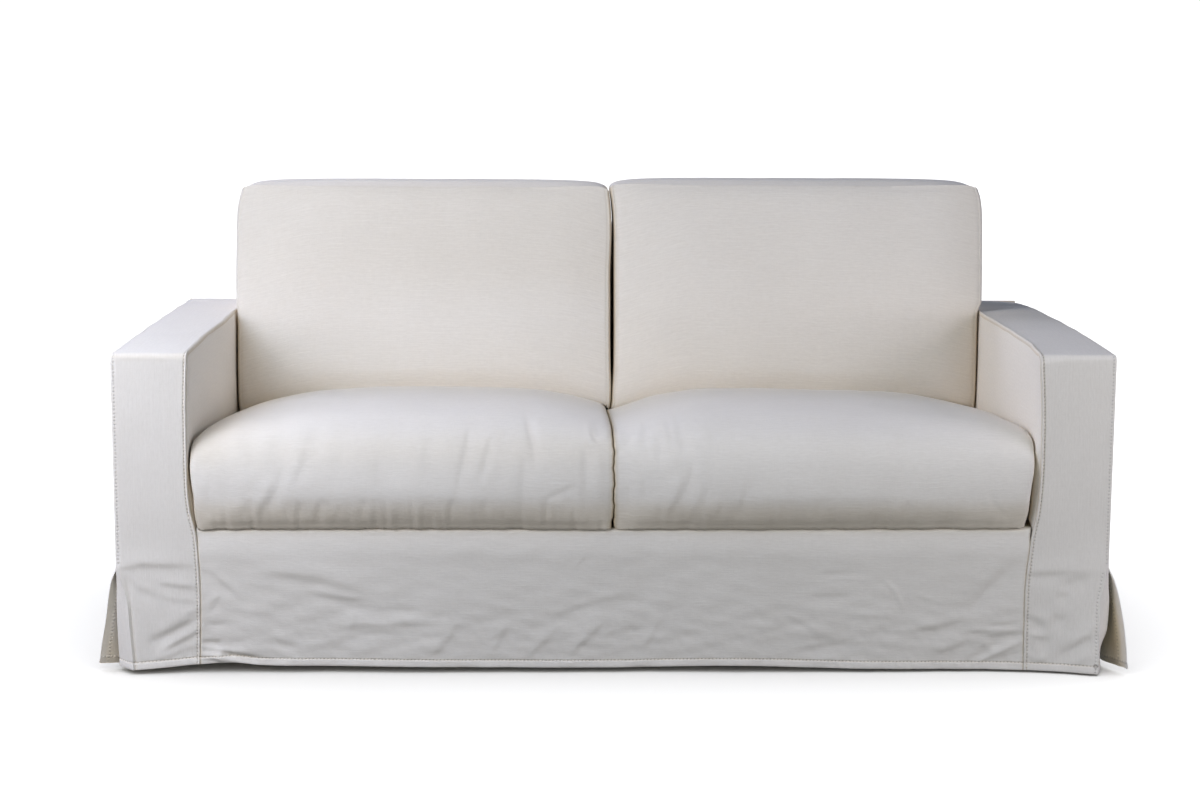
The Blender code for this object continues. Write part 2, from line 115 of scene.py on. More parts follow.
VENT_LEFT = (  # z, fold_x, edge_x, edge_y, flap_x, flap_y
    (0.0095, 0.9205, 0.9535, 0.0220, 0.9905, 0.0240),
    (0.0450, 0.9230, 0.9545, 0.0190, 0.9860, 0.0200),
    (0.0910, 0.9270, 0.9548, 0.0140, 0.9788, 0.0160),
    (0.1380, 0.9300, 0.9540, 0.0090, 0.9708, 0.0110),
    (0.1770, 0.9390, 0.9520, 0.0045, 0.9620, 0.0070),
    (0.2080, 0.9480, 0.9520, 0.0000, 0.9520, 0.0029),
)
VENT_RIGHT = (
    (0.0045, 0.9290, 0.9470, 0.0120, 0.9870, -0.0260),
    (0.0450, 0.9330, 0.9440, 0.0100, 0.9862, -0.0220),
    (0.0910, 0.9332, 0.9550, 0.0040, 0.9832, -0.0160),
    (0.1380, 0.9346, 0.9560, 0.0020, 0.9752, -0.0080),
    (0.1770, 0.9410, 0.9530, 0.0010, 0.9640, -0.0020),
    (0.2080, 0.9460, 0.9520, 0.0000, 0.9520, 0.0029),
)
SEAT_ROWS = (  # y_mid, z_mid, y_end, z_left, z_right, z_split
    (0.022, 0.2855, 0.022, 0.2860, 0.2860, 0.2860),
    (0.002, 0.2865, 0.003, 0.2870, 0.2870, 0.2870),
    (-0.0065, 0.302, -0.001, 0.303, 0.303, 0.303),
    (-0.0152, 0.332, -0.004, 0.330, 0.330, 0.331),
    (-0.0182, 0.375, -0.006, 0.372, 0.372, 0.374),
    (-0.007, 0.424, 0.003, 0.414, 0.416, 0.420),
    (0.016, 0.454, 0.018, 0.432, 0.433, 0.444),
    (0.050, 0.473, 0.046, 0.4410, 0.4475, 0.4560),
    (0.100, 0.483, 0.090, 0.4400, 0.4510, 0.4580),
    (0.180, 0.487, 0.170, 0.4345, 0.4465, 0.4540),
    (0.300, 0.486, 0.300, 0.4230, 0.4350, 0.4450),
    (0.430, 0.4785, 0.430, 0.4070, 0.4235, 0.4330),
    (0.560, 0.4680, 0.560, 0.3910, 0.4090, 0.4220),
    (0.600, 0.4625, 0.600, 0.3890, 0.4050, 0.4180),
    (0.640, 0.4480, 0.640, 0.3870, 0.4010, 0.4080),
    (0.700, 0.4390, 0.700, 0.3840, 0.3970, 0.4000),
    (0.785, 0.4320, 0.782, 0.3820, 0.3930, 0.3940),
    (0.810, 0.4150, 0.804, 0.3740, 0.3820, 0.3820),
    (0.816, 0.370, 0.809, 0.355, 0.355, 0.355),
    (0.811, 0.315, 0.806, 0.315, 0.315, 0.315),
    (0.802, 0.2875, 0.800, 0.2875, 0.2875, 0.2875),
)
SEAT_END_ROWS = (  # z, left_out, left_in, right_in, right_out
    (0.285, -0.8000, -0.0050, -0.0030, 0.7925),
    (0.300, -0.8025, -0.0038, -0.0028, 0.7945),
    (0.315, -0.8022, -0.0034, -0.0024, 0.7958),
    (0.338, -0.8022, -0.0031, -0.0021, 0.7968),
    (0.366, -0.8052, -0.0029, -0.0019, 0.7992),
    (0.396, -0.8084, -0.0028, -0.0017, 0.8036),
    (0.425, -0.8090, -0.0030, -0.0018, 0.8052),
    (0.450, -0.8088, -0.0036, -0.0020, 0.8074),
    (0.490, -0.8070, -0.0060, -0.0010, 0.8070),
)
BACK_ROWS = (  # y, share of the height up to the seam, puff, rise above the seam
    (0.662, 0.000, 0.0, 0.0),
    (0.6545, 0.006, 0.1, 0.0),
    (0.6500, 0.040, 0.3, 0.0),
    (0.6520, 0.160, 0.8, 0.0),
    (0.6600, 0.380, 1.0, 0.0),
    (0.6720, 0.640, 0.9, 0.0),
    (0.6850, 0.880, 0.5, 0.0),
    (0.6975, 1.000, 0.0, 0.0),
    (0.7050, 1.000, 0.0, 0.30),
    (0.7300, 1.000, 0.0, 0.80),
    (0.7700, 1.000, 0.0, 1.00),
    (0.8120, 1.000, 0.0, 0.60),
    (0.8290, 0.990, 0.0, 0.0),
    (0.8330, 0.920, 0.0, 0.0),
    (0.8310, 0.500, 0.0, 0.0),
    (0.8290, 0.120, 0.0, 0.0),
    (0.8260, 0.040, 0.0, 0.0),
    (0.8160, 0.000, 0.0, 0.0),
)
BACK_SEAM_TOP = {-1: 0.8945, 1: 0.9000}
BACK_CROWN = {-1: 0.0070, 1: 0.0060}
BACK_PUFF = 0.011
BACK_END_ROWS = (  # z, left_out, left_in, right_in, right_out
    (0.400, -0.8040, 0.0052, 0.0070, 0.8100),
    (0.430, -0.8055, 0.0088, 0.0104, 0.8118),
    (0.455, -0.8060, 0.0094, 0.0114, 0.8126),
    (0.500, -0.8060, 0.0080, 0.0140, 0.8130),
    (0.560, -0.8058, 0.0068, 0.0147, 0.8132),
    (0.622, -0.8062, 0.0066, 0.0146, 0.8134),
    (0.650, -0.8082, 0.0066, 0.0144, 0.8216),
    (0.700, -0.8082, 0.0062, 0.0142, 0.8216),
    (0.750, -0.8072, 0.0076, 0.0140, 0.8212),
    (0.800, -0.8060, 0.0088, 0.0136, 0.8206),
    (0.840, -0.8045, 0.0078, 0.0118, 0.8202),
    (0.862, -0.8008, 0.0062, 0.0094, 0.8182),
    (0.882, -0.7964, 0.0040, 0.0066, 0.8142),
    (0.900, -0.7910, 0.0024, 0.0052, 0.8080),
)

# ------------------------------------------------------------------ seams, hems, stitches
TOPSTITCH = 0.0058        # from a seam to the row of topstitching beside it
HEM_STITCH = 0.0132       # from the hem to its row of stitches
STITCH_PITCH = 0.0070
STITCH_LENGTH = 0.0038
STITCH_RADIUS = 0.00048
BORDER_LEAN = 0.0034      # how far the front leans back just under its rounded top edge
FLAT_SEAM = 0.0021        # how far a seam's doubled edge stands proud

# ------------------------------------------------------------------ folds and creases
# Each is a bent line through three points with its half width and height; a height above zero
# stands out of the cloth, one below is a trough.  x0, z0, x1, z1, x2, z2, width, height
FRONT_FOLDS = (
    (-0.706, 0.198, -0.573, 0.193, -0.440, 0.143, 0.0196, 0.0021),
    (-0.546, 0.096, -0.431, 0.098, -0.316, 0.104, 0.0118, 0.0012),
    (-0.545, 0.133, -0.440, 0.122, -0.335, 0.126, 0.0138, -0.0009),
    (-0.439, 0.222, -0.440, 0.124, -0.441, 0.035, 0.0029, -0.0002),
    (-0.306, 0.143, -0.314, 0.116, -0.322, 0.088, 0.0039, 0.0003),
    (-0.095, 0.031, -0.056, 0.070, -0.014, 0.114, 0.0138, 0.0017),
    (-0.178, 0.025, -0.141, 0.060, -0.105, 0.096, 0.0118, 0.0011),
    (-0.243, 0.031, -0.222, 0.068, -0.204, 0.108, 0.0118, 0.0011),
    (-0.364, 0.033, -0.328, 0.064, -0.304, 0.108, 0.0158, 0.0014),
    (-0.143, 0.094, -0.047, 0.129, 0.053, 0.149, 0.0158, -0.0014),
    (-0.373, 0.183, -0.361, 0.196, -0.352, 0.210, 0.0032, 0.0003),
    (-0.078, 0.202, -0.067, 0.220, -0.055, 0.232, 0.0032, 0.0006),
    (0.555, 0.167, 0.608, 0.143, 0.659, 0.129, 0.0059, 0.0005),
    (0.782, 0.226, 0.727, 0.167, 0.671, 0.107, 0.0235, -0.0022),
    (0.320, 0.088, 0.387, 0.076, 0.455, 0.092, 0.0158, 0.0011),
    (0.359, 0.048, 0.417, 0.050, 0.479, 0.064, 0.0118, -0.0011),
    (0.309, 0.121, 0.358, 0.094, 0.409, 0.064, 0.0098, -0.0009),
    (0.611, 0.034, 0.650, 0.052, 0.684, 0.064, 0.0118, 0.0011),
    (0.050, 0.044, 0.073, 0.080, 0.088, 0.127, 0.0118, 0.0010),
    (-0.803, 0.208, -0.762, 0.182, -0.717, 0.137, 0.0121, -0.0013),
    (-0.769, 0.192, -0.739, 0.172, -0.706, 0.139, 0.0084, 0.0008),
    (-0.799, 0.061, -0.772, 0.059, -0.745, 0.059, 0.0100, -0.0024),
    (-0.807, 0.054, -0.753, 0.044, -0.692, 0.038, 0.0053, 0.0016),
    (-0.757, 0.041, -0.719, 0.033, -0.647, 0.021, 0.0100, -0.0034),
    (-0.799, 0.032, -0.748, 0.028, -0.696, 0.020, 0.0095, 0.0030),
    (-0.789, 0.097, -0.768, 0.095, -0.741, 0.097, 0.0065, -0.0009),
    (-0.684, 0.077, -0.646, 0.058, -0.594, 0.040, 0.0161, -0.0010),
    (-0.677, 0.057, -0.635, 0.036, -0.593, 0.020, 0.0095, 0.0008),
    (-0.655, 0.188, -0.592, 0.178, -0.526, 0.164, 0.0114, -0.0008),
    (-0.610, 0.159, -0.530, 0.141, -0.459, 0.139, 0.0114, -0.0008),
    (-0.602, 0.170, -0.526, 0.152, -0.465, 0.150, 0.0095, 0.0009),
    (-0.496, 0.138, -0.502, 0.104, -0.512, 0.071, 0.0047, 0.0005),
    (-0.527, 0.092, -0.466, 0.072, -0.373, 0.084, 0.0142, -0.0009),
    (-0.632, 0.086, -0.565, 0.080, -0.515, 0.076, 0.0098, -0.0005),
    (-0.782, 0.136, -0.768, 0.144, -0.751, 0.156, 0.0063, 0.0008),
    (-0.779, 0.112, -0.767, 0.128, -0.755, 0.140, 0.0081, -0.0009),
    (-0.707, 0.171, -0.675, 0.165, -0.631, 0.161, 0.0098, -0.0005),
    (0.507, 0.187, 0.540, 0.159, 0.565, 0.111, 0.0047, 0.0010),
    (0.382, 0.177, 0.443, 0.185, 0.503, 0.181, 0.0063, 0.0006),
    (0.385, 0.192, 0.443, 0.194, 0.495, 0.188, 0.0098, -0.0009),
    (0.560, 0.077, 0.625, 0.083, 0.698, 0.107, 0.0098, -0.0010),
    (0.561, 0.086, 0.625, 0.096, 0.686, 0.114, 0.0095, 0.0009),
    (0.672, 0.077, 0.726, 0.083, 0.812, 0.078, 0.0053, 0.0010),
    (0.715, 0.065, 0.756, 0.069, 0.816, 0.079, 0.0142, -0.0019),
    (0.699, 0.090, 0.749, 0.092, 0.811, 0.104, 0.0088, -0.0010),
    (0.692, 0.043, 0.727, 0.049, 0.752, 0.061, 0.0121, -0.0014),
    (0.681, 0.026, 0.708, 0.034, 0.739, 0.044, 0.0100, -0.0013),
    (0.686, 0.010, 0.747, 0.040, 0.816, 0.076, 0.0068, 0.0017),
    (0.736, 0.022, 0.767, 0.032, 0.813, 0.048, 0.0100, -0.0013),
    (0.494, 0.083, 0.552, 0.075, 0.600, 0.077, 0.0098, -0.0009),
    (0.357, 0.156, 0.415, 0.148, 0.477, 0.152, 0.0114, -0.0010),
    (0.435, 0.107, 0.493, 0.113, 0.551, 0.109, 0.0084, 0.0005),
    (-0.027, 0.062, 0.015, 0.078, 0.069, 0.086, 0.0123, -0.0006),
    (-0.258, 0.052, -0.220, 0.070, -0.197, 0.094, 0.0123, -0.0006),
)
ARM_FOLDS_LEFT = (
    (-0.959, 0.214, -0.887, 0.216, -0.782, 0.210, 0.0143, 0.0014),
    (-0.948, 0.206, -0.872, 0.207, -0.781, 0.202, 0.0131, -0.0008),
    (-0.946, 0.205, -0.929, 0.207, -0.902, 0.201, 0.0055, 0.0008),
    (-0.948, 0.202, -0.911, 0.166, -0.866, 0.149, 0.0131, -0.0010),
    (-0.929, 0.179, -0.892, 0.162, -0.846, 0.150, 0.0099, 0.0008),
    (-0.880, 0.173, -0.838, 0.165, -0.781, 0.159, 0.0144, -0.0014),
    (-0.876, 0.183, -0.834, 0.173, -0.781, 0.167, 0.0077, 0.0006),
    (-0.869, 0.147, -0.835, 0.137, -0.784, 0.131, 0.0112, -0.0011),
    (-0.902, 0.054, -0.848, 0.079, -0.771, 0.119, 0.0197, -0.0024),
    (-0.883, 0.069, -0.836, 0.097, -0.771, 0.132, 0.0143, 0.0013),
    (-0.825, 0.109, -0.807, 0.115, -0.778, 0.124, 0.0090, -0.0009),
    (-0.876, 0.041, -0.833, 0.067, -0.771, 0.098, 0.0110, 0.0018),
    (-0.857, 0.047, -0.826, 0.061, -0.775, 0.091, 0.0112, -0.0011),
    (-0.849, 0.031, -0.818, 0.041, -0.772, 0.045, 0.0144, -0.0014),
    (-0.891, 0.029, -0.857, 0.036, -0.826, 0.048, 0.0088, 0.0009),
)
ARM_FOLDS_RIGHT = (
    (0.772, 0.196, 0.857, 0.202, 0.957, 0.202, 0.0165, 0.0012),
    (0.772, 0.185, 0.828, 0.191, 0.886, 0.193, 0.0112, -0.0009),
    (0.856, 0.167, 0.885, 0.177, 0.921, 0.189, 0.0158, -0.0014),
    (0.847, 0.150, 0.863, 0.150, 0.884, 0.151, 0.0112, -0.0011),
    (0.771, 0.120, 0.810, 0.098, 0.838, 0.076, 0.0135, -0.0014),
    (0.802, 0.115, 0.825, 0.107, 0.845, 0.091, 0.0099, 0.0010),
    (0.811, 0.062, 0.831, 0.062, 0.846, 0.060, 0.0158, -0.0016),
    (0.796, 0.073, 0.815, 0.073, 0.834, 0.069, 0.0066, 0.0012),
    (0.839, 0.109, 0.859, 0.105, 0.878, 0.103, 0.0149, -0.0014),
    (0.937, 0.087, 0.895, 0.054, 0.835, 0.018, 0.0180, -0.0017),
    (0.927, 0.088, 0.898, 0.070, 0.857, 0.046, 0.0121, 0.0015),
    (0.906, 0.091, 0.917, 0.093, 0.929, 0.093, 0.0066, 0.0009),
    (0.817, 0.017, 0.826, 0.027, 0.838, 0.021, 0.0077, 0.0012),
    (0.795, 0.040, 0.805, 0.032, 0.815, 0.020, 0.0055, 0.0010),
    (0.866, 0.013, 0.896, 0.027, 0.928, 0.049, 0.0110, 0.0013),
)
SEAT_FOLDS_LEFT = (
    (-0.626, 0.425, -0.640, 0.364, -0.679, 0.302, 0.0129, -0.0021),
    (-0.586, 0.451, -0.593, 0.403, -0.618, 0.353, 0.0114, -0.0022),
    (-0.694, 0.349, -0.698, 0.326, -0.708, 0.302, 0.0107, -0.0017),
    (-0.552, 0.349, -0.564, 0.318, -0.572, 0.287, 0.0100, -0.0023),
    (-0.596, 0.341, -0.600, 0.318, -0.603, 0.291, 0.0085, -0.0017),
    (-0.517, 0.341, -0.528, 0.314, -0.540, 0.287, 0.0093, -0.0015),
    (-0.477, 0.345, -0.481, 0.326, -0.487, 0.302, 0.0085, -0.0020),
    (-0.279, 0.478, -0.285, 0.431, -0.308, 0.332, 0.0107, -0.0025),
    (-0.236, 0.466, -0.245, 0.421, -0.262, 0.368, 0.0114, -0.0032),
    (-0.301, 0.349, -0.314, 0.322, -0.309, 0.285, 0.0093, -0.0022),
    (-0.248, 0.345, -0.253, 0.318, -0.252, 0.283, 0.0085, -0.0023),
    (-0.184, 0.501, -0.160, 0.455, -0.150, 0.392, 0.0107, -0.0030),
    (-0.145, 0.338, -0.104, 0.357, -0.058, 0.374, 0.0071, -0.0020),
    (-0.134, 0.345, -0.134, 0.318, -0.136, 0.283, 0.0085, -0.0023),
    (-0.059, 0.452, -0.057, 0.399, -0.055, 0.318, 0.0114, -0.0025),
    (-0.035, 0.442, -0.031, 0.380, -0.035, 0.299, 0.0180, 0.0026),
    (-0.069, 0.334, -0.078, 0.310, -0.061, 0.279, 0.0093, -0.0014),
    (-0.053, 0.318, -0.059, 0.299, -0.049, 0.279, 0.0090, 0.0021),
    (-0.053, 0.478, -0.048, 0.459, -0.042, 0.435, 0.0080, 0.0021),
    (-0.038, 0.484, -0.035, 0.466, -0.027, 0.445, 0.0078, -0.0015),
    (-0.720, 0.451, -0.701, 0.399, -0.710, 0.331, 0.0300, 0.0026),
    (-0.649, 0.399, -0.665, 0.351, -0.688, 0.318, 0.0160, 0.0023),
    (-0.407, 0.341, -0.409, 0.318, -0.415, 0.287, 0.0085, -0.0013),
    (-0.358, 0.345, -0.362, 0.318, -0.360, 0.287, 0.0085, -0.0013),
    (-0.208, 0.341, -0.212, 0.314, -0.210, 0.287, 0.0085, -0.0013),
    (-0.175, 0.435, -0.175, 0.380, -0.182, 0.330, 0.0114, -0.0015),
    (-0.445, 0.452, -0.451, 0.399, -0.459, 0.341, 0.0143, -0.0012),
    (-0.350, 0.469, -0.360, 0.413, -0.372, 0.353, 0.0143, -0.0012),
    (-0.771, 0.399, -0.769, 0.351, -0.777, 0.302, 0.0143, -0.0020),
)
SEAT_FOLDS_RIGHT = (
    (0.052, 0.400, 0.058, 0.365, 0.048, 0.330, 0.0149, -0.0020),
    (0.139, 0.432, 0.141, 0.380, 0.092, 0.291, 0.0129, -0.0021),
    (0.120, 0.400, 0.113, 0.351, 0.081, 0.299, 0.0160, 0.0027),
    (0.117, 0.502, 0.124, 0.459, 0.131, 0.414, 0.0107, -0.0014),
    (0.094, 0.498, 0.105, 0.456, 0.102, 0.414, 0.0100, -0.0018),
    (0.179, 0.384, 0.168, 0.338, 0.145, 0.291, 0.0114, -0.0015),
    (0.162, 0.369, 0.149, 0.330, 0.131, 0.299, 0.0100, 0.0014),
    (0.253, 0.380, 0.242, 0.334, 0.227, 0.291, 0.0107, -0.0023),
    (0.038, 0.494, 0.025, 0.466, 0.015, 0.431, 0.0093, -0.0022),
    (0.068, 0.498, 0.059, 0.469, 0.051, 0.435, 0.0093, -0.0018),
    (0.075, 0.472, 0.086, 0.435, 0.077, 0.400, 0.0107, -0.0018),
    (0.557, 0.346, 0.552, 0.318, 0.547, 0.287, 0.0093, -0.0017),
    (0.662, 0.354, 0.657, 0.322, 0.656, 0.287, 0.0093, -0.0015),
    (0.392, 0.349, 0.387, 0.326, 0.382, 0.299, 0.0093, -0.0013),
    (0.327, 0.346, 0.322, 0.322, 0.313, 0.291, 0.0093, -0.0013),
    (0.710, 0.361, 0.730, 0.326, 0.762, 0.299, 0.0121, -0.0027),
    (0.459, 0.342, 0.456, 0.318, 0.451, 0.291, 0.0093, -0.0012),
    (0.603, 0.342, 0.602, 0.318, 0.597, 0.291, 0.0093, -0.0012),
    (0.205, 0.342, 0.198, 0.318, 0.189, 0.291, 0.0085, -0.0015),
    (0.280, 0.453, 0.270, 0.400, 0.260, 0.342, 0.0143, -0.0012),
    (0.752, 0.453, 0.755, 0.400, 0.769, 0.342, 0.0143, -0.0017),
    (0.021, 0.380, 0.025, 0.341, 0.019, 0.299, 0.0107, -0.0017),
    (0.168, 0.485, 0.178, 0.452, 0.173, 0.417, 0.0140, 0.0014),
)

FOLD_SCALE = 1.35         # the folds' height against their table
SEAT_FOLD_SCALE = 0.66
INNER_ROLL = {-1: 0.003, 1: 0.0095}   # how much wider an arm's front top roll is at its inner seam

# ------------------------------------------------------------------ number helpers
def slopes(xs, ys):
    gap = np.diff(xs)
    rise = np.diff(ys) / gap
    made = np.zeros(len(ys))
    made[0], made[-1] = rise[0], rise[-1]
    for i in range(1, len(ys) - 1):
        if rise[i - 1] * rise[i] > 0:
            a, b = 2 * gap[i] + gap[i - 1], gap[i] + 2 * gap[i - 1]
            made[i] = (a + b) / (a / rise[i - 1] + b / rise[i])
    return made


def smooth(xs, ys, x):
    """A curve through a table that keeps to its rises and falls; flat outside the table."""
    xs, ys = np.asarray(xs, float), np.asarray(ys, float)
    m = slopes(xs, ys)
    x = np.clip(np.asarray(x, float), xs[0], xs[-1])
    i = np.clip(np.searchsorted(xs, x) - 1, 0, len(xs) - 2)
    h = xs[i + 1] - xs[i]
    t = (x - xs[i]) / h
    return ((2 * t**3 - 3 * t**2 + 1) * ys[i] + (t**3 - 2 * t**2 + t) * h * m[i]
            + (-2 * t**3 + 3 * t**2) * ys[i + 1] + (t**3 - t**2) * h * m[i + 1])


def table(rows, key, value, x):
    rows = np.asarray(rows, float)
    return smooth(rows[:, key], rows[:, value], x)


def step(a, b, x):
    t = np.clip((np.asarray(x, float) - a) / (b - a), 0.0, 1.0)
    return t * t * (3 - 2 * t)


def bell(x, width):
    return np.exp(-(np.asarray(x, float) / width) ** 2)


def folds(rows, a, b):
    """Sum of the folds of a table at positions a, b."""
    total = np.zeros_like(a)
    for x0, z0, x1, z1, x2, z2, width, height in rows:
        t = np.linspace(0, 1, 17)
        cx, cz = 2 * x1 - (x0 + x2) / 2, 2 * z1 - (z0 + z2) / 2
        px = (1 - t) ** 2 * x0 + 2 * t * (1 - t) * cx + t**2 * x2
        pz = (1 - t) ** 2 * z0 + 2 * t * (1 - t) * cz + t**2 * z2
        best = np.full(a.shape, 1e9)
        along = np.zeros(a.shape)
        below = np.zeros(a.shape)
        near = (a > px.min() - 5 * width) & (a < px.max() + 5 * width) & (b > pz.min() - 5 * width) & (b < pz.max() + 5 * width)
        if not near.any():
            continue
        an, bn = a[near], b[near]
        bestn, alongn, belown = best[near], along[near], below[near]
        for k in range(16):
            dx, dz = px[k + 1] - px[k], pz[k + 1] - pz[k]
            length = dx * dx + dz * dz + 1e-12
            s = np.clip(((an - px[k]) * dx + (bn - pz[k]) * dz) / length, 0, 1)
            d = (an - px[k] - s * dx) ** 2 + (bn - pz[k] - s * dz) ** 2
            closer = d < bestn
            # on which side of the crease a point lies: under it, or right of an upright one
            way = 1.0 if (dx > 0 if abs(dx) > 0.7 * abs(dz) else dz > 0) else -1.0
            under = ((an - px[k]) * dz - (bn - pz[k]) * dx) * way
            bestn = np.where(closer, d, bestn)
            alongn = np.where(closer, (k + s) / 16, alongn)
            belown = np.where(closer, under, belown)
        taper = step(0.0, 0.35, alongn) * step(1.0, 0.65, alongn)
        # one side of a crease is steep and the other runs out softly
        steep = np.where(belown * np.sign(height) > 0, 0.55, 1.35)
        wide = width * (0.75 + 0.4 * alongn) * steep
        total[near] += height * taper * np.exp(-bestn / wide**2)
    return total


def wobble(a, b, seed, scale, height):
    """Smooth unevenness: a few crossing waves of about the given length."""
    rng = np.random.default_rng(seed)
    total = np.zeros(np.broadcast(a, b).shape)
    for _ in range(9):
        angle, phase = rng.uniform(0, math.pi), rng.uniform(0, 2 * math.pi)
        k = 2 * math.pi / (scale * rng.uniform(0.7, 1.6))
        total = total + np.sin(k * (a * math.cos(angle) + b * math.sin(angle)) + phase)
    return height * total / 3.0


def normals_of(grid):
    down = np.gradient(grid, axis=0)
    across = np.gradient(grid, axis=1)
    n = np.cross(across, down)
    return n / np.maximum(np.linalg.norm(n, axis=2, keepdims=True), 1e-12)


def lengths(grid, axis):
    """Distance along one axis of a grid of points."""
    gaps = np.linalg.norm(np.diff(grid, axis=axis), axis=2)
    return np.insert(np.cumsum(gaps, axis=axis), 0, 0.0, axis=axis)


# ------------------------------------------------------------------ mesh helpers
def make_mesh(name, points, faces, weave=None, smooth_angle=40, stitch=None, reverse=None):
    mesh = bpy.data.meshes.new(name)
    faces = np.asarray(faces, np.int32)
    points = np.asarray(points, float) - ORIGIN
    mesh.vertices.add(len(points))
    mesh.vertices.foreach_set("co", points.astype(np.float32).ravel())
    sides = faces.shape[1]
    mesh.loops.add(faces.size)
    mesh.loops.foreach_set("vertex_index", faces.ravel())
    mesh.polygons.add(len(faces))
    mesh.polygons.foreach_set("loop_start", np.arange(0, faces.size, sides, dtype=np.int32))
    mesh.update(calc_edges=True)
    mesh.validate()
    mesh.shade_smooth()
    if smooth_angle:
        mesh.set_sharp_from_angle(angle=math.radians(smooth_angle))
    if weave is not None:
        made = mesh.attributes.new("weave", "FLOAT_VECTOR", "POINT")
        made.data.foreach_set("vector", np.asarray(weave, np.float32).ravel())
        if stitch is None:
            stitch = np.zeros((len(points), 3)) + (0.0, 0.02, 0.0)
        # the stitch attribute holds stitch places and, in its third value, painted shade
        made = mesh.attributes.new("stitch", "FLOAT_VECTOR", "POINT")
        made.data.foreach_set("vector", np.asarray(stitch, np.float32).ravel())
    if reverse is not None:
        mesh.polygons.foreach_set("material_index", np.asarray(reverse, np.int32))
    made = bpy.data.objects.new(name, mesh)
    bpy.context.scene.collection.objects.link(made)
    return made


def grid_faces(rows, cols, offset=0, flip=False, wrap=False):
    r = np.arange(rows - 1)[:, None]
    c = np.arange(cols if wrap else cols - 1)[None, :]
    nxt = (c + 1) % cols
    a, b = r * cols + c, r * cols + nxt
    d, e = (r + 1) * cols + nxt, (r + 1) * cols + c
    a, b, d, e = np.broadcast_arrays(a, b, d, e)
    faces = np.stack([a, b, d, e], axis=-1).reshape(-1, 4) + offset
    return faces[:, ::-1] if flip else faces


def cloth_panel(name, grid, inward, weave, thick=CLOTH, edge_ways=None, stitch=None):
    """A closed sheet from its outer face. inward: a rough direction to the inner face."""
    rows, cols = grid.shape[:2]
    normal = normals_of(grid)
    rough = np.broadcast_to(np.asarray(inward, float), normal.shape)
    flip = (normal * rough).sum(axis=2).mean() < 0
    inner_way = -normal if flip else normal
    bad = (inner_way * rough).sum(axis=2) < -0.2
    inner_way[bad] = rough[bad]
    if edge_ways:
        for c, ways in edge_ways.items():
            inner_way[:, c] = ways
    thick = np.broadcast_to(np.asarray(thick, float), (rows, cols))[..., None]
    inner = grid + inner_way * thick
    middle = grid + inner_way * thick * 0.5
    n = rows * cols
    outer_faces = grid_faces(rows, cols, 0)
    inner_faces = grid_faces(rows, cols, n, flip=True)
    # the rim bulges a little, as a folded edge does
    rim = np.concatenate([
        np.arange(cols), np.arange(1, rows) * cols + cols - 1,
        (rows - 1) * cols + np.arange(cols - 2, -1, -1), np.arange(rows - 2, 0, -1) * cols])
    centre = middle.reshape(-1, 3)
    inside = np.empty((rows, cols, 3))
    inside[:] = middle
    inside[0, :] = middle[1, :]
    inside[-1, :] = middle[-2, :]
    inside[:, 0] = middle[:, 1]
    inside[:, -1] = middle[:, -2]
    out = centre[rim] - inside.reshape(-1, 3)[rim]
    out /= np.maximum(np.linalg.norm(out, axis=1, keepdims=True), 1e-9)
    bulge = centre[rim] + out * 0.00015
    k = len(rim)
    start = 2 * n
    nxt = np.roll(np.arange(k), -1)
    rim_a = np.stack([rim[nxt], rim, start + np.arange(k), start + nxt], axis=1)
    rim_b = np.stack([start + nxt, start + np.arange(k), n + rim, n + rim[nxt]], axis=1)
    points = np.concatenate([grid.reshape(-1, 3), inner.reshape(-1, 3), bulge])
    faces = np.concatenate([outer_faces, inner_faces, rim_a, rim_b])
    if not flip:
        faces = faces[:, ::-1]
    if solid_volume(points, faces) < 0:
        faces = faces[:, ::-1]
    w = weave.reshape(-1, 3)
    weave_all = np.concatenate([w, w, w[rim]])
    stitch_all = None
    if stitch is not None:
        t = stitch.reshape(-1, 3)
        stitch_all = np.concatenate([t, t, t[rim]])
    reverse = np.zeros(len(faces), int)
    reverse[len(outer_faces):len(outer_faces) + len(inner_faces)] = 1
    made = make_mesh(name, points, faces, weave_all, stitch=stitch_all, reverse=reverse)
    return made, -inner_way


def no_stitch(grid):
    return np.zeros(grid.shape) + (0.0, 0.02, 0.0)


def add_painted_shade(stitch, amount):
    """Adds painted shade, from 0 to 1, to the third value of the stitch attribute: the cloth's colour turns darker and
    warmer there.
    """
    stitch[..., 2] = np.maximum(stitch[..., 2], np.clip(amount, 0.0, 1.0))


def mark(stitch, along, across, scale, skip):
    """Notes the nearest row of stitches: how many stitches along, and how far from it."""
    along, across = np.broadcast_arrays(along, across)
    nearer = np.abs(across) < np.abs(stitch[..., 1])
    stitch[..., 0] = np.where(nearer, (along - skip) * scale, stitch[..., 0])
    stitch[..., 1] = np.where(nearer, np.abs(across), stitch[..., 1])


def solid_volume(points, faces):
    a, b, c, d = (points[faces[:, i]] for i in range(4))
    return float((np.einsum("ij,ij->i", a, np.cross(b, c)) + np.einsum("ij,ij->i", a, np.cross(c, d))).sum() / 6)


def weave_grid(grid, along_rows=False, start=(0.0, 0.0)):
    """Cloth coordinates in metres: x runs with the slubs."""
    u = lengths(grid, 1)
    v = lengths(grid, 0)
    u = u - u[:, :1] * 0 + start[0]
    made = np.zeros(grid.shape)
    if along_rows:
        made[..., 0], made[..., 1] = v + start[0], u + start[1]
    else:
        made[..., 0], made[..., 1] = u, v + start[1]
    return made


stitch_sets = {}


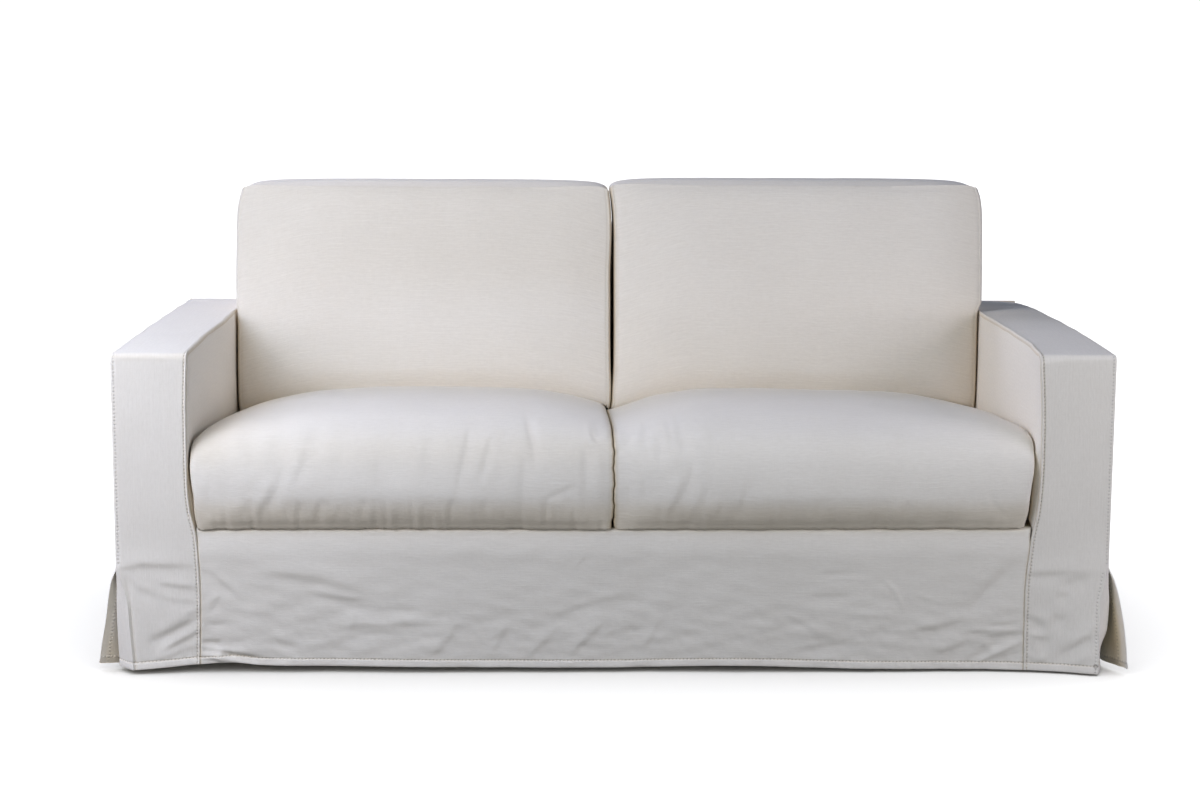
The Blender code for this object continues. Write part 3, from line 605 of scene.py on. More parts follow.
def stitch_line(group, line, normal, pitch=STITCH_PITCH, length=STITCH_LENGTH, radius=STITCH_RADIUS, skip=0.0):
    """Adds a row of separate stitches along a line of points on the cloth."""
    line, normal = np.asarray(line, float), np.asarray(normal, float)
    gaps = np.linalg.norm(np.diff(line, axis=0), axis=1)
    at = np.insert(np.cumsum(gaps), 0, 0.0)
    total = at[-1] - 2 * skip
    count = max(1, int(total / pitch))
    scale = count / total
    middles = skip + (np.arange(count) + 0.5) * total / count
    shares = (-0.5, -0.34, 0.0, 0.34, 0.5)
    heights = (-0.9, -0.1, 0.30, -0.1, -0.9)
    widths = (0.15, 0.85, 1.0, 0.85, 0.15)
    for m in middles:
        centre = np.array([np.interp(m, at, line[:, k]) for k in range(3)])
        n = np.array([np.interp(m, at, normal[:, k]) for k in range(3)])
        n /= max(np.linalg.norm(n), 1e-9)
        ahead = np.array([np.interp(min(m + 0.001, at[-1]), at, line[:, k]) for k in range(3)])
        back = np.array([np.interp(max(m - 0.001, 0), at, line[:, k]) for k in range(3)])
        t = ahead - back
        t /= max(np.linalg.norm(t), 1e-9)
        side = np.cross(n, t)
        side /= max(np.linalg.norm(side), 1e-9)
        points = []
        for s, h, w in zip(shares, heights, widths):
            c = centre + t * s * length + n * radius * h
            for a in (0, 60, 120, 180, 240, 300):
                points.append(c + side * math.cos(math.radians(a)) * radius * w + n * math.sin(math.radians(a)) * radius * w)
        stitch_sets.setdefault(group, []).append(np.array(points))
    return scale, skip


def build_stitches(group, shade):
    sets = stitch_sets[group]
    points = np.concatenate(sets)
    faces = []
    for k in range(len(sets)):
        base = k * 30
        for i in range(4):
            for j in range(6):
                n = (j + 1) % 6
                faces.append((base + i * 6 + j, base + i * 6 + n, base + (i + 1) * 6 + n, base + (i + 1) * 6 + j))
        faces.append((base, base + 5, base + 4, base + 3))
        faces.append((base, base + 3, base + 2, base + 1))
        faces.append((base + 24, base + 25, base + 26, base + 27))
        faces.append((base + 24, base + 27, base + 28, base + 29))
    if solid_volume(points[:30], np.array(faces[:28])) < 0:
        faces = [tuple(reversed(f)) for f in faces]
    made = make_mesh(group, points, faces, None, None)
    made.data.materials.append(shade)
    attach(made, "root")
    return made


# ------------------------------------------------------------------ materials
def cloth_material(name, base, deep, slub=1.0, bump=1.0, coordinates="weave"):
    """Cotton and linen plain weave: threads, uneven slubs, soft shade changes, a little fuzz."""
    made = bpy.data.materials.new(name)
    made.use_nodes = True
    made.diffuse_color = (*base, 1)
    tree = made.node_tree
    tree.nodes.clear()
    new, link = tree.nodes.new, tree.links.new
    out = new("ShaderNodeOutputMaterial")
    shader = new("ShaderNodeBsdfPrincipled")
    link(shader.outputs["BSDF"], out.inputs["Surface"])
    if coordinates == "weave":
        place = new("ShaderNodeAttribute")
        place.attribute_name = "weave"
        where = place.outputs["Vector"]
    else:
        place = new("ShaderNodeTexCoord")
        where = place.outputs["Object"]

    def noise(scale, detail=2.0, rough=0.5, squeeze=(1, 1, 1), turn=0.0):
        mapping = new("ShaderNodeMapping")
        mapping.inputs["Scale"].default_value = squeeze
        mapping.inputs["Rotation"].default_value = (0, 0, turn)
        link(where, mapping.inputs["Vector"])
        node = new("ShaderNodeTexNoise")
        node.inputs["Scale"].default_value = scale
        node.inputs["Detail"].default_value = detail
        node.inputs["Roughness"].default_value = rough
        link(mapping.outputs["Vector"], node.inputs["Vector"])
        return node.outputs["Fac"]

    def math_node(kind, a, b=None, clamp=False):
        node = new("ShaderNodeMath")
        node.operation = kind
        node.use_clamp = clamp
        for socket, value in zip(node.inputs, (a, b)):
            if value is None:
                continue
            if isinstance(value, (int, float)):
                socket.default_value = value
            else:
                link(value, socket)
        return node.outputs[0]

    def span(value, low, high, to_low, to_high):
        node = new("ShaderNodeMapRange")
        node.inputs["From Min"].default_value = low
        node.inputs["From Max"].default_value = high
        node.inputs["To Min"].default_value = to_low
        node.inputs["To Max"].default_value = to_high
        link(value, node.inputs["Value"])
        return node.outputs["Result"]

    weft = noise(1.0, 3.0, 0.62, (16, 620, 1))        # slubbed yarns along the cloth
    fine = noise(1.0, 2.0, 0.55, (70, 1500, 1))       # single threads
    warp = noise(1.0, 2.0, 0.55, (1300, 30, 1))       # crossing threads
    slubs = noise(1.0, 1.0, 0.4, (9, 330, 1))         # the thickest, sparse slubs
    patch = noise(5.0, 2.0, 0.5)                      # soft change over the panel
    grain = noise(900.0, 2.0, 0.6)
    mottle = noise(1.0, 3.0, 0.62, (75, 230, 1))      # yarns bunched a little, thick and thin
    thick = span(slubs, 0.60, 0.74, 0.0, 1.0)
    shade = math_node("ADD", span(weft, 0.25, 0.75, -0.034 * slub, 0.034 * slub), span(fine, 0.25, 0.75, -0.018, 0.018))
    shade = math_node("ADD", shade, span(warp, 0.25, 0.75, -0.016, 0.016))
    shade = math_node("ADD", shade, span(patch, 0.3, 0.7, -0.012, 0.012))
    shade = math_node("ADD", shade, span(grain, 0.3, 0.7, -0.02, 0.02))
    shade = math_node("ADD", shade, math_node("MULTIPLY", thick, 0.030 * slub))
    shade = math_node("ADD", shade, span(mottle, 0.3, 0.7, -0.024, 0.024))
    mix = new("ShaderNodeMix")
    mix.data_type = "RGBA"
    mix.inputs["A"].default_value = (*deep, 1)
    mix.inputs["B"].default_value = (*base, 1)
    link(math_node("ADD", math_node("MULTIPLY", shade, 5.0), 0.72, True), mix.inputs["Factor"])
    bright = new("ShaderNodeHueSaturation")
    stitch_and_painted_shade = new("ShaderNodeAttribute")
    stitch_and_painted_shade.attribute_name = "stitch"
    spots_ = new("ShaderNodeSeparateXYZ")
    link(stitch_and_painted_shade.outputs["Vector"], spots_.inputs["Vector"])
    # painted shade in the holes between stitches
    near_line = span(math_node("ABSOLUTE", spots_.outputs["Y"]), 0.0011, 0.0022, 1.0, 0.0)
    gap = span(math_node("ABSOLUTE", math_node("SUBTRACT", math_node("FRACT", spots_.outputs["X"]), 0.5)), 0.28, 0.36, 0.0, 1.0)
    painted_darkening = math_node("MULTIPLY", math_node("MULTIPLY", near_line, gap), 0.15)
    painted_shade = spots_.outputs["Z"]                     # painted shade: darker, warmer colour in seams, between pieces and on some lit areas
    painted_darkening = math_node("ADD", painted_darkening, math_node("MULTIPLY", painted_shade, 0.46))
    value = math_node("SUBTRACT", math_node("ADD", math_node("MULTIPLY", shade, 0.62), 1.0), painted_darkening)
    # the painted shade also makes the colour warmer
    link(math_node("ADD", math_node("MULTIPLY", painted_shade, 2.1), 1.0), bright.inputs["Saturation"])
    link(value, bright.inputs["Value"])
    link(mix.outputs["Result"], bright.inputs["Color"])
    link(bright.outputs["Color"], shader.inputs["Base Color"])
    link(span(weft, 0.3, 0.7, 0.80, 0.92), shader.inputs["Roughness"])
    shader.inputs["Specular IOR Level"].default_value = 0.25
    shader.inputs["Sheen Weight"].default_value = 0.12
    shader.inputs["Sheen Roughness"].default_value = 0.45
    shader.inputs["Sheen Tint"].default_value = (1.0, 0.98, 0.95, 1)
    sewn = new("ShaderNodeAttribute")
    sewn.attribute_name = "stitch"
    parts = new("ShaderNodeSeparateXYZ")
    link(sewn.outputs["Vector"], parts.inputs["Vector"])
    away = math_node("ABSOLUTE", parts.outputs["Y"])
    on_line = span(away, 0.0010, 0.0022, 1.0, 0.0)
    beside = span(away, 0.0, 0.0065, 1.0, 0.0)
    count = math_node("ABSOLUTE", math_node("SUBTRACT", math_node("FRACT", parts.outputs["X"]), 0.5))
    hole = span(count, 0.33, 0.42, 0.0, 1.0)
    holes = math_node("MULTIPLY", hole, on_line)
    gather = math_node("MULTIPLY", math_node("MULTIPLY", span(count, 0.0, 0.5, 1.0, 0.0), beside), beside)
    relief = math_node("ADD", math_node("MULTIPLY", weft, 0.9), math_node("MULTIPLY", warp, 0.45))
    pulled = math_node("SUBTRACT", math_node("MULTIPLY", gather, 0.9), math_node("MULTIPLY", holes, 1.0))
    drawn = new("ShaderNodeBump")
    drawn.inputs["Strength"].default_value = 0.9
    drawn.inputs["Distance"].default_value = 0.0005
    link(pulled, drawn.inputs["Height"])
    relief = math_node("ADD", relief, math_node("MULTIPLY", fine, 0.6))
    relief = math_node("ADD", relief, math_node("MULTIPLY", thick, 0.5 * slub))
    relief = math_node("ADD", relief, math_node("MULTIPLY", mottle, 1.5))
    dent = new("ShaderNodeBump")
    dent.inputs["Strength"].default_value = 0.35 * bump
    dent.inputs["Distance"].default_value = 0.0006
    link(relief, dent.inputs["Height"])
    link(drawn.outputs["Normal"], dent.inputs["Normal"])
    link(dent.outputs["Normal"], shader.inputs["Normal"])
    return made


def thread_material():
    made = bpy.data.materials.new("stitch_thread")
    made.use_nodes = True
    tree = made.node_tree
    shader = next(n for n in tree.nodes if n.type == "BSDF_PRINCIPLED")
    where = tree.nodes.new("ShaderNodeTexCoord")
    node = tree.nodes.new("ShaderNodeTexNoise")
    node.inputs["Scale"].default_value = 900
    tree.links.new(where.outputs["Object"], node.inputs["Vector"])
    ramp = tree.nodes.new("ShaderNodeValToRGB")
    ramp.color_ramp.elements[0].position = 0.3
    ramp.color_ramp.elements[0].color = (0.79, 0.72, 0.63, 1)
    ramp.color_ramp.elements[1].position = 0.7
    ramp.color_ramp.elements[1].color = (0.88, 0.82, 0.74, 1)
    tree.links.new(node.outputs["Fac"], ramp.inputs["Fac"])
    tree.links.new(ramp.outputs["Color"], shader.inputs["Base Color"])
    shader.inputs["Roughness"].default_value = 0.65
    dent = tree.nodes.new("ShaderNodeBump")
    dent.inputs["Strength"].default_value = 0.4
    dent.inputs["Distance"].default_value = 0.0002
    tree.links.new(node.outputs["Fac"], dent.inputs["Height"])
    tree.links.new(dent.outputs["Normal"], shader.inputs["Normal"])
    return made


BASE = (0.855, 0.805, 0.725)
DEEP = (0.790, 0.730, 0.640)
cover_cloth = cloth_material("cover_cloth", BASE, DEEP, 0.75, 0.9)
cushion_cloth = cloth_material("cushion_cloth", BASE, DEEP, 1.1, 1.0)
deck_cloth = cloth_material("deck_cloth", (0.79, 0.735, 0.655), (0.73, 0.67, 0.58), 0.6, 0.8)
# the cloth's inner face: a warmer copy of the cloth colour, painted warm shade for the insides of the vent flaps
painted_reverse_cloth = cloth_material("cover_cloth_reverse_painted", (0.87, 0.79, 0.66), (0.80, 0.70, 0.56), 0.8, 1.0)
thread = thread_material()


def finish_sheet(made, node, shade):
    made.data.materials.append(shade)
    made.data.materials.append(painted_reverse_cloth)
    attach(made, "root")
    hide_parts(node)


# ------------------------------------------------------------------ the front's shape
def seam_x(side, z):
    return side * table(SEAM_ROWS, 0, 1 if side < 0 else 2, z)


def hem_z(x):
    return table(HEM_ROWS, 0, 1, x)


def front_y(x, z):
    fall = np.clip(1.0 - z / DECK_TOP, 0.0, 1.0)
    forward = table(HEM_ROWS, 0, 2, x) * fall**1.4
    wave = 0.0018 * np.sin(9.0 * x + 1.0) + 0.0012 * np.sin(21.0 * x + 7.0 * z)
    return forward + wave * fall


def drop(z, x):
    share = (VENT_TOP - z) / (VENT_TOP - HEM_MEAN)
    return np.where(z >= VENT_TOP, z, VENT_TOP - share * (VENT_TOP - hem_z(x)))


def hem_heights(low, high, pitch, fine=None, split=0.235):
    """Rows of a panel from its hem up, close together at the hem's edge and its stitches."""
    start = [0.0, 0.0010, 0.0026, 0.0048, 0.0072, 0.0096, 0.0112, 0.0123, HEM_STITCH, 0.0141, 0.0152, 0.0168, 0.0190]
    if fine is None:
        rest = np.linspace(0.0225, high - low, int((high - low - 0.0225) / pitch) + 1)
    else:
        lower = np.linspace(0.0225, split - low, int((split - low - 0.0225) / fine) + 1)
        rest = np.concatenate([lower, np.linspace(split - low, high - low, int((high - split) / pitch) + 1)[1:]])
    return low + np.concatenate([start, rest])


def hem_relief(height_over_hem):
    """The turned-up hem is twice as thick, with its stitches drawn in."""
    h = height_over_hem
    relief = 0.0011 * step(HEM_STITCH + 0.0006, HEM_STITCH - 0.0014, h)
    relief = relief + 0.0024 * np.clip(1.0 - h / HEM_STITCH, 0.0, 1.0)
    relief = relief - 0.0010 * bell(h - HEM_STITCH, 0.0014)
    return relief - 0.0009 * bell(h, 0.0014)


def puckers(along, height_over_hem, seed=0, strength=0.00075):
    """The slanting uneven pulls that the stitches draw into the turned-up hem."""
    band = step(HEM_STITCH + 0.007, HEM_STITCH - 0.002, height_over_hem) * step(-0.003, 0.004, height_over_hem)
    slant = along + 0.6 * height_over_hem
    uneven = 0.55 + 0.45 * np.sin(7.3 * along + seed) * np.sin(3.1 * along + 2.0 * seed + 1.0)
    return strength * band * uneven * (wobble(slant, np.zeros_like(slant), 201 + seed, 0.020, 0.8) + 0.4 * np.sin(2 * math.pi * slant / 0.0145))


def seam_columns(width, pitch, near=0.012):
    """Distances from 0 to width, close together near 0."""
    start = np.array([0.0, 0.0006, 0.0013, 0.0020, 0.0028, 0.0036, 0.0044, 0.0051, TOPSTITCH, 0.0065, 0.0074, 0.0088, 0.0108, 0.0134])
    rest = np.linspace(0.017, width, max(2, int((width - 0.017) / pitch) + 1))
    return np.concatenate([start, rest])


def front_border():
    rows_z = hem_heights(HEM_MEAN, DECK_TOP - DECK_ROLL, 0.0065, 0.0036, 0.226)
    width = 1.59
    near = np.array([0.0, 0.0006, 0.0013, 0.0022, 0.0035, 0.0055, 0.008, 0.012, 0.017]) / width
    shares = np.concatenate([near, np.linspace(0.015, 0.985, 400), 1 - near[::-1]])
    Z = np.broadcast_to(rows_z[:, None], (len(rows_z), len(shares)))
    left = seam_x(-1, rows_z)[:, None] + SEAM / 2
    right = seam_x(1, rows_z)[:, None] - SEAM / 2
    right = right - 0.0022 * step(0.252, 0.270, rows_z)[:, None]
    X = left + shares[None, :] * (right - left)
    Zd = drop(Z, X)
    Y = front_y(X, Z)
    over = Z - HEM_MEAN
    pull = 0.00060 + 0.00110 * step(-0.66, -0.72, X) + 0.00050 * step(0.64, 0.72, X)
    relief = FOLD_SCALE * folds(FRONT_FOLDS, X, Zd) + hem_relief(over) + puckers(X, over, 1, pull)
    relief += wobble(X, Zd, 3, 0.09, 0.00035) * step(0.28, 0.2, Zd)
    relief += wobble(X * 0.45, Zd, 5, 0.032, 0.00038) * (0.45 + 0.55 * step(0.20, 0.10, Zd))
    relief += wobble(X * 0.7, Zd, 7, 0.020, 0.00022) * step(0.17, 0.06, Zd)
    ends = np.minimum(X - left, right - X)
    relief -= 0.0011 * bell(ends, 0.0016)
    Y = Y - relief
    # the band just under the cushions is pressed flat against the seat rail, then rolls back
    Y = Y - 0.0008 * bell(Zd - 0.236, 0.018) + BORDER_LEAN * np.clip((Zd - 0.226) / 0.046, 0, 1) ** 2
    body = np.stack([X, Y, Zd], axis=2)
    roll = []
    for angle in np.linspace(0, 90, 9)[1:]:
        a = math.radians(angle)
        y = BORDER_LEAN + (DECK_ROLL - BORDER_LEAN) * (1 - math.cos(a))
        z = DECK_TOP - DECK_ROLL * (1 - math.sin(a))
        lo, hi = seam_x(-1, z) + SEAM / 2, seam_x(1, z) - SEAM / 2 - 0.0022
        x = lo + shares * (hi - lo)
        relief_r = -0.0011 * bell(np.minimum(x - lo, hi - x), 0.0016) * math.cos(a)
        roll.append(np.stack([x, y - relief_r, np.full_like(x, z)], axis=1))
    lo, hi = -ARM_IN_L + SEAM, ARM_IN_R - SEAM
    for y in (0.022, 0.034, 0.047, DECK_START - SEAM):
        t = (y - DECK_ROLL) / (DECK_START - DECK_ROLL)
        l2 = (seam_x(-1, DECK_TOP) + SEAM / 2) * (1 - t) + lo * t
        r2 = (seam_x(1, DECK_TOP) - SEAM / 2 - 0.0022) * (1 - t) + hi * t
        x = l2 + shares * (r2 - l2)
        roll.append(np.stack([x, np.full_like(x, y), np.full_like(x, DECK_TOP)], axis=1))
    grid = np.concatenate([body, np.array(roll)])
    ways = np.zeros(grid.shape)
    nb = len(rows_z)
    ways[:nb, :, 1] = 1.0
    for i, angle in enumerate(np.linspace(0, 90, 9)[1:]):
        ways[nb + i, :, 1], ways[nb + i, :, 2] = math.cos(math.radians(angle)), -math.sin(math.radians(angle))
    ways[nb + 8:, :, 2] = -1.0
    thick = np.full(grid.shape[:2], CLOTH)
    thick[:nb] = CLOTH + 0.0006 * step(HEM_STITCH + 0.001, HEM_STITCH - 0.001, over)
    weave = weave_grid(grid, start=(0.0, 3.0))
    weave[..., 0] = grid[..., 0]
    row = int(np.argmin(abs(rows_z - HEM_MEAN - HEM_STITCH)))
    stitch = no_stitch(grid)
    across, along = lengths(grid, 1), lengths(grid, 0)
    edge_gap = np.minimum(grid[..., 0] - grid[:, :1, 0], grid[:, -1:, 0] - grid[..., 0])
    # painted shade along the side seams and along the hem's row of stitches
    add_painted_shade(stitch, 0.36 * bell(edge_gap, 0.0011) + 0.10 * bell(edge_gap, 0.0040))
    painted_stitch_shade = 0.26 * bell(over - HEM_STITCH, 0.0011)
    stitch[:nb, :, 2] = np.maximum(stitch[:nb, :, 2], painted_stitch_shade)
    # the cloth just under the cushions lies in their shade
    under = 0.16 * step(DECK_TOP - 0.018, DECK_TOP, grid[..., 2]) * step(0.002, 0.010, edge_gap)
    add_painted_shade(stitch, under)
    facing = np.zeros((grid.shape[1], 3)) + (0.0, -1.0, 0.0)
    sewn = stitch_line("stitches_front", grid[row], facing, pitch=0.0070, skip=0.002)
    mark(stitch, across[row][None, :], along - along[row], *sewn)
    made, out = cloth_panel("front_panel", grid, ways, weave, thick,
                            {0: ways[:, 0], grid.shape[1] - 1: ways[:, -1]}, stitch)
    finish_sheet(made, "front_border", cover_cloth)
    return made


def crown(side, s, y):
    """How far an arm's top is raised by its padding; s runs from the inner to the outer edge."""
    share = np.clip(y / DEPTH, 0, 1)
    bow = np.sin(math.pi * share) ** 0.9
    if side > 0:
        height = 0.0045 + 0.0045 * s
        sag = -0.004 * step(0.90, 1.0, share) * s
    else:
        height = 0.0016 + 0.0008 * s
        sag = 0.0
    return height * bow + sag + 0.0015 * np.sin(math.pi * s) * step(0.0, 0.08, share)


def seam_relief(d):
    """Across a topstitched seam: the sewn edge dips, its doubled lip stands proud, the stitches draw in."""
    return FLAT_SEAM * bell(d - 0.0028, 0.0018) - 0.0020 * bell(d, 0.0010) - 0.0014 * bell(d - TOPSTITCH, 0.0014)


def corner_roll(side, s, angle):
    """y, z of the arm's front top edge; its radius is widest at the inner seam. s runs outward."""
    r = ARM_ROLL + INNER_ROLL[side] * (1 - s) ** 3
    return r * (1 - math.cos(angle)), ARM_TOP - r * (1 - math.sin(angle))


def arm_band(side):
    """Arm front, its turned vent edge, the rounded front edge and the arm's top."""
    rows_z = hem_heights(HEM_MEAN, ARM_TOP - ARM_ROLL, 0.0075, 0.0040, 0.236)
    vents = VENT_LEFT if side < 0 else VENT_RIGHT
    arm_folds = ARM_FOLDS_LEFT if side < 0 else ARM_FOLDS_RIGHT
    d = seam_columns(0.1255, 0.0042)
    inner_shares = d / 0.1255
    strip_shares = np.array([0.10, 0.25, 0.42, 0.60, 0.78, 0.92, 0.975, 1.0])
    cols = len(inner_shares) + len(strip_shares)
    Zn = rows_z[:, None]
    low = rows_z < VENT_TOP
    seam = seam_x(side, rows_z) + side * SEAM / 2
    fold = np.where(low, side * table(vents, 0, 1, rows_z), side * (0.946 if side < 0 else 0.944))
    edge = np.where(low, side * table(vents, 0, 2, rows_z), side * ARM_OUT)
    edge_y = np.where(low, table(vents, 0, 3, rows_z), 0.0)
    X1 = seam[:, None] + inner_shares[None, :] * (fold - seam)[:, None]
    Z1 = drop(np.broadcast_to(Zn, X1.shape), X1)
    Y1 = front_y(X1, np.broadcast_to(Zn, X1.shape))
    # the strip beyond the fold turns back from the front plane
    s = strip_shares[None, :]
    X2 = fold[:, None] + s * (edge - fold)[:, None]
    Yf = front_y(fold, rows_z)
    Y2 = Yf[:, None] * (1 - s) + edge_y[:, None] * s
    bow = 0.0022 * np.sin(math.pi * s) * step(VENT_TOP + 0.01, 0.14, Zn)
    Y2 = Y2 - bow
    Z2 = drop(np.broadcast_to(Zn, X2.shape), np.broadcast_to(fold[:, None], X2.shape))
    X, Y, Z = (np.concatenate(p, axis=1) for p in ((X1, X2), (Y1, Y2), (Z1, Z2)))
    Zb = np.broadcast_to(Zn, X.shape)
    over = Zb - HEM_MEAN
    dist = np.abs(X - seam[:, None])
    relief = FOLD_SCALE * folds(arm_folds, X, Z) * (1 - 0.6 * (np.abs(X) > np.abs(fold)[:, None]))
    relief += hem_relief(over) + puckers(X, over, 4 + side, 0.0013 if side < 0 else 0.0008)
    proud = 0.55 + 0.45 * step(0.27, 0.33, Zb)
    relief += proud * seam_relief(dist)
    relief += wobble(X, Z, 11 + side, 0.10, 0.00030) * (0.35 + 0.65 * step(0.30, 0.18, Z))
    relief += wobble(X, Z * 0.4, 21 + side, 0.05, 0.00014)
    # vertical hem of the vent: a stitched groove along the fold line and a fold ridge at the edge
    in_vent = step(VENT_TOP - 0.004, VENT_TOP - 0.03, Zb)
    from_fold = np.abs(X) - np.abs(fold)[:, None]
    if side < 0:
        relief += in_vent * (0.0022 * bell(from_fold - 0.0008, 0.0021) - 0.0026 * bell(from_fold + 0.0032, 0.0015))
    else:
        relief -= in_vent * 0.0016 * bell(from_fold + 0.0050, 0.0014)
    edge_line = np.abs(edge)[:, None] - np.abs(X)
    above = step(VENT_TOP - 0.006, VENT_TOP + 0.01, Zb)
    relief -= above * (0.0007 * bell(edge_line - 0.0055, 0.0012) + 0.0012 * bell(edge_line, 0.0022))
    Y = Y - relief
    share_in = np.clip(dist / 0.142, 0, 1)
    start_z = ARM_TOP - (ARM_ROLL + INNER_ROLL[side] * (1 - share_in) ** 3)
    Z = np.where(Zb > 0.45, 0.45 + (Zb - 0.45) * (start_z - 0.45) / (ARM_TOP - ARM_ROLL - 0.45), Z)
    body = np.stack([X, Y, Z], axis=2)
    # over the rounded front edge and back along the top
    ss = np.concatenate([inner_shares * 0.957, 0.957 + strip_shares * 0.043])
    rows = [body]
    ways = [np.broadcast_to(np.array([0.0, 1.0, 0.0]), body.shape)]
    seam_t = seam_x(side, ARM_TOP) + side * SEAM / 2
    outer = side * ARM_OUT
    edge_dist = (1 - ss) * 0.142
    inner_dist = ss * 0.142
    lip = seam_relief(inner_dist)
    lip_out = -0.0007 * bell(edge_dist - 0.0055, 0.0012) - 0.0018 * bell(edge_dist, 0.0030)
    for angle in np.linspace(0, 90, 10)[1:]:
        a = math.radians(angle)
        y, z = corner_roll(side, ss, a)
        seam_a = seam_x(side, z[0]) + side * SEAM / 2
        x = seam_a + ss * (outer - seam_a)
        r = lip + lip_out
        rows.append(np.stack([x, y - r * math.cos(a), z + r * math.sin(a) + crown(side, ss, y) * math.sin(a)], axis=1)[None])
        ways.append(np.broadcast_to(np.array([0.0, math.cos(a), -math.sin(a)]), (1, cols, 3)))
    ys = np.concatenate([np.linspace(ARM_ROLL + 0.004, 0.08, 9), np.linspace(0.090, DEPTH - 0.012, 84),
                         np.array([DEPTH - 0.007, DEPTH - 0.0045, DEPTH - CLOTH - SEAM])])
    inside = side * (ARM_IN_L if side < 0 else ARM_IN_R)
    t = step(0.014, 0.16, ys)
    start = seam_t * (1 - t) + inside * t
    Xt = start[:, None] + ss[None, :] * (outer - start)[:, None]
    roll_end = ARM_ROLL + INNER_ROLL[side] * (1 - ss[None, :]) ** 3 + 0.003
    Yt = roll_end + (ys[:, None] - ARM_ROLL - 0.004) * (ys[-1] - roll_end) / (ys[-1] - ARM_ROLL - 0.004)
    S = np.broadcast_to(ss[None, :], Xt.shape)
    rel = 1.45 * lip[None, :] + lip_out[None, :] + wobble(Xt, Yt, 31 + side, 0.13, 0.00055) * step(0.014, 0.06, Yt)
    rel = rel + wobble(Xt, Yt * 0.5, 41 + side, 0.05, 0.00020)
    rel = rel - 0.0012 * bell(Yt - DEPTH + CLOTH, 0.003)
    if side < 0:
        rel = rel + 0.0022 * bell(Yt - 0.905, 0.016) * bell(S - 0.75, 0.35) - 0.0014 * bell(Yt - 0.875, 0.016)
    else:
        rel = rel + 0.0016 * bell(Yt - 0.70 - 0.4 * (S - 0.5) * 0.14, 0.03) - 0.0014 * bell(Yt - 0.62, 0.04) * bell(S - 0.3, 0.4)
    Zt = ARM_TOP + crown(side, S, Yt) + rel
    # the inner seam of the left arm's top wanders a little
    if side < 0:
        Xt = Xt + 0.0012 * np.sin(16.0 * Yt) * (1 - S) * step(0.05, 0.2, Yt) * step(0.95, 0.85, Yt)
    rows.append(np.stack([Xt, Yt, Zt], axis=2))
    ways.append(np.broadcast_to(np.array([0.0, 0.0, -1.0]), (len(ys), cols, 3)))
    grid = np.concatenate(rows)
    ways = np.concatenate(ways).copy()
    thick = np.full(grid.shape[:2], CLOTH)
    thick[:len(rows_z)] += 0.0005 * step(HEM_STITCH + 0.001, HEM_STITCH - 0.001, over)
    weave = weave_grid(grid, along_rows=True, start=(0.0, 5.0 + side))
    weave[..., 1] = 6.0 + side + np.concatenate([X, np.tile(seam_t + ss * (outer - seam_t), (9, 1)), Xt])
    name = "arm_strip_L" if side < 0 else "arm_strip_R"
    out = -ways
    across, along = lengths(grid, 1), lengths(grid, 0)
    stitch = no_stitch(grid)
    gap_in = np.abs(grid[..., 0] - grid[:, :1, 0])
    # painted shade along the inner seam, its topstitching and the hem's row of stitches
    add_painted_shade(stitch, 0.34 * bell(gap_in, 0.0011) + 0.18 * bell(gap_in - TOPSTITCH, 0.0012))
    # painted shade dulling the left arm's lit front top edge
    if side < 0:
        add_painted_shade(stitch, 0.13 * bell(grid[..., 2] - (ARM_TOP - 0.006), 0.006) * step(0.03, 0.0, grid[..., 1]))
    stitch[:len(rows_z), :, 2] = np.maximum(stitch[:len(rows_z), :, 2], 0.24 * bell(over - HEM_STITCH, 0.0011))
    # painted shade along the left vent's pressed crease
    if side < 0:
        crease = in_vent * 0.36 * bell(from_fold + 0.0030, 0.0014)
        stitch[:len(rows_z), :, 2] = np.maximum(stitch[:len(rows_z), :, 2], crease)
    group = "stitches_arm_L" if side < 0 else "stitches_arm_R"
    col = int(np.argmin(abs(d - TOPSTITCH)))
    sewn = stitch_line(group, grid[:, col], out[:, col], skip=0.004)
    mark(stitch, along[:, col][:, None], across - across[:, col][:, None], *sewn)
    row = int(np.argmin(abs(rows_z - HEM_MEAN - HEM_STITCH)))
    sewn = stitch_line(group, grid[row], out[row], pitch=0.0070, skip=0.001)
    mark(stitch, across[row][None, :], along - along[row], *sewn)
    # outer edge above the vent: a row of topstitches on the front
    upper = np.nonzero(rows_z > VENT_TOP)[0]
    last = len(rows_z)
    xs = side * (ARM_OUT - 0.0055)
    line, nrm, where = [], [], []
    picked = list(upper) + list(range(last, grid.shape[0]))
    for r in picked:
        xr = np.abs(grid[r, :, 0])
        line.append([np.interp(abs(xs), xr, grid[r, :, k]) for k in range(3)])
        nrm.append([np.interp(abs(xs), xr, out[r, :, k]) for k in range(3)])
        where.append(np.interp(abs(xs), xr, across[r]))
    sewn = stitch_line(group, line, nrm, skip=0.004)
    run_on = np.insert(np.cumsum(np.linalg.norm(np.diff(np.array(line), axis=0), axis=1)), 0, 0.0)
    part = stitch[picked]
    mark(part, run_on[:, None], across[picked] - np.array(where)[:, None], *sewn)
    stitch[picked] = part
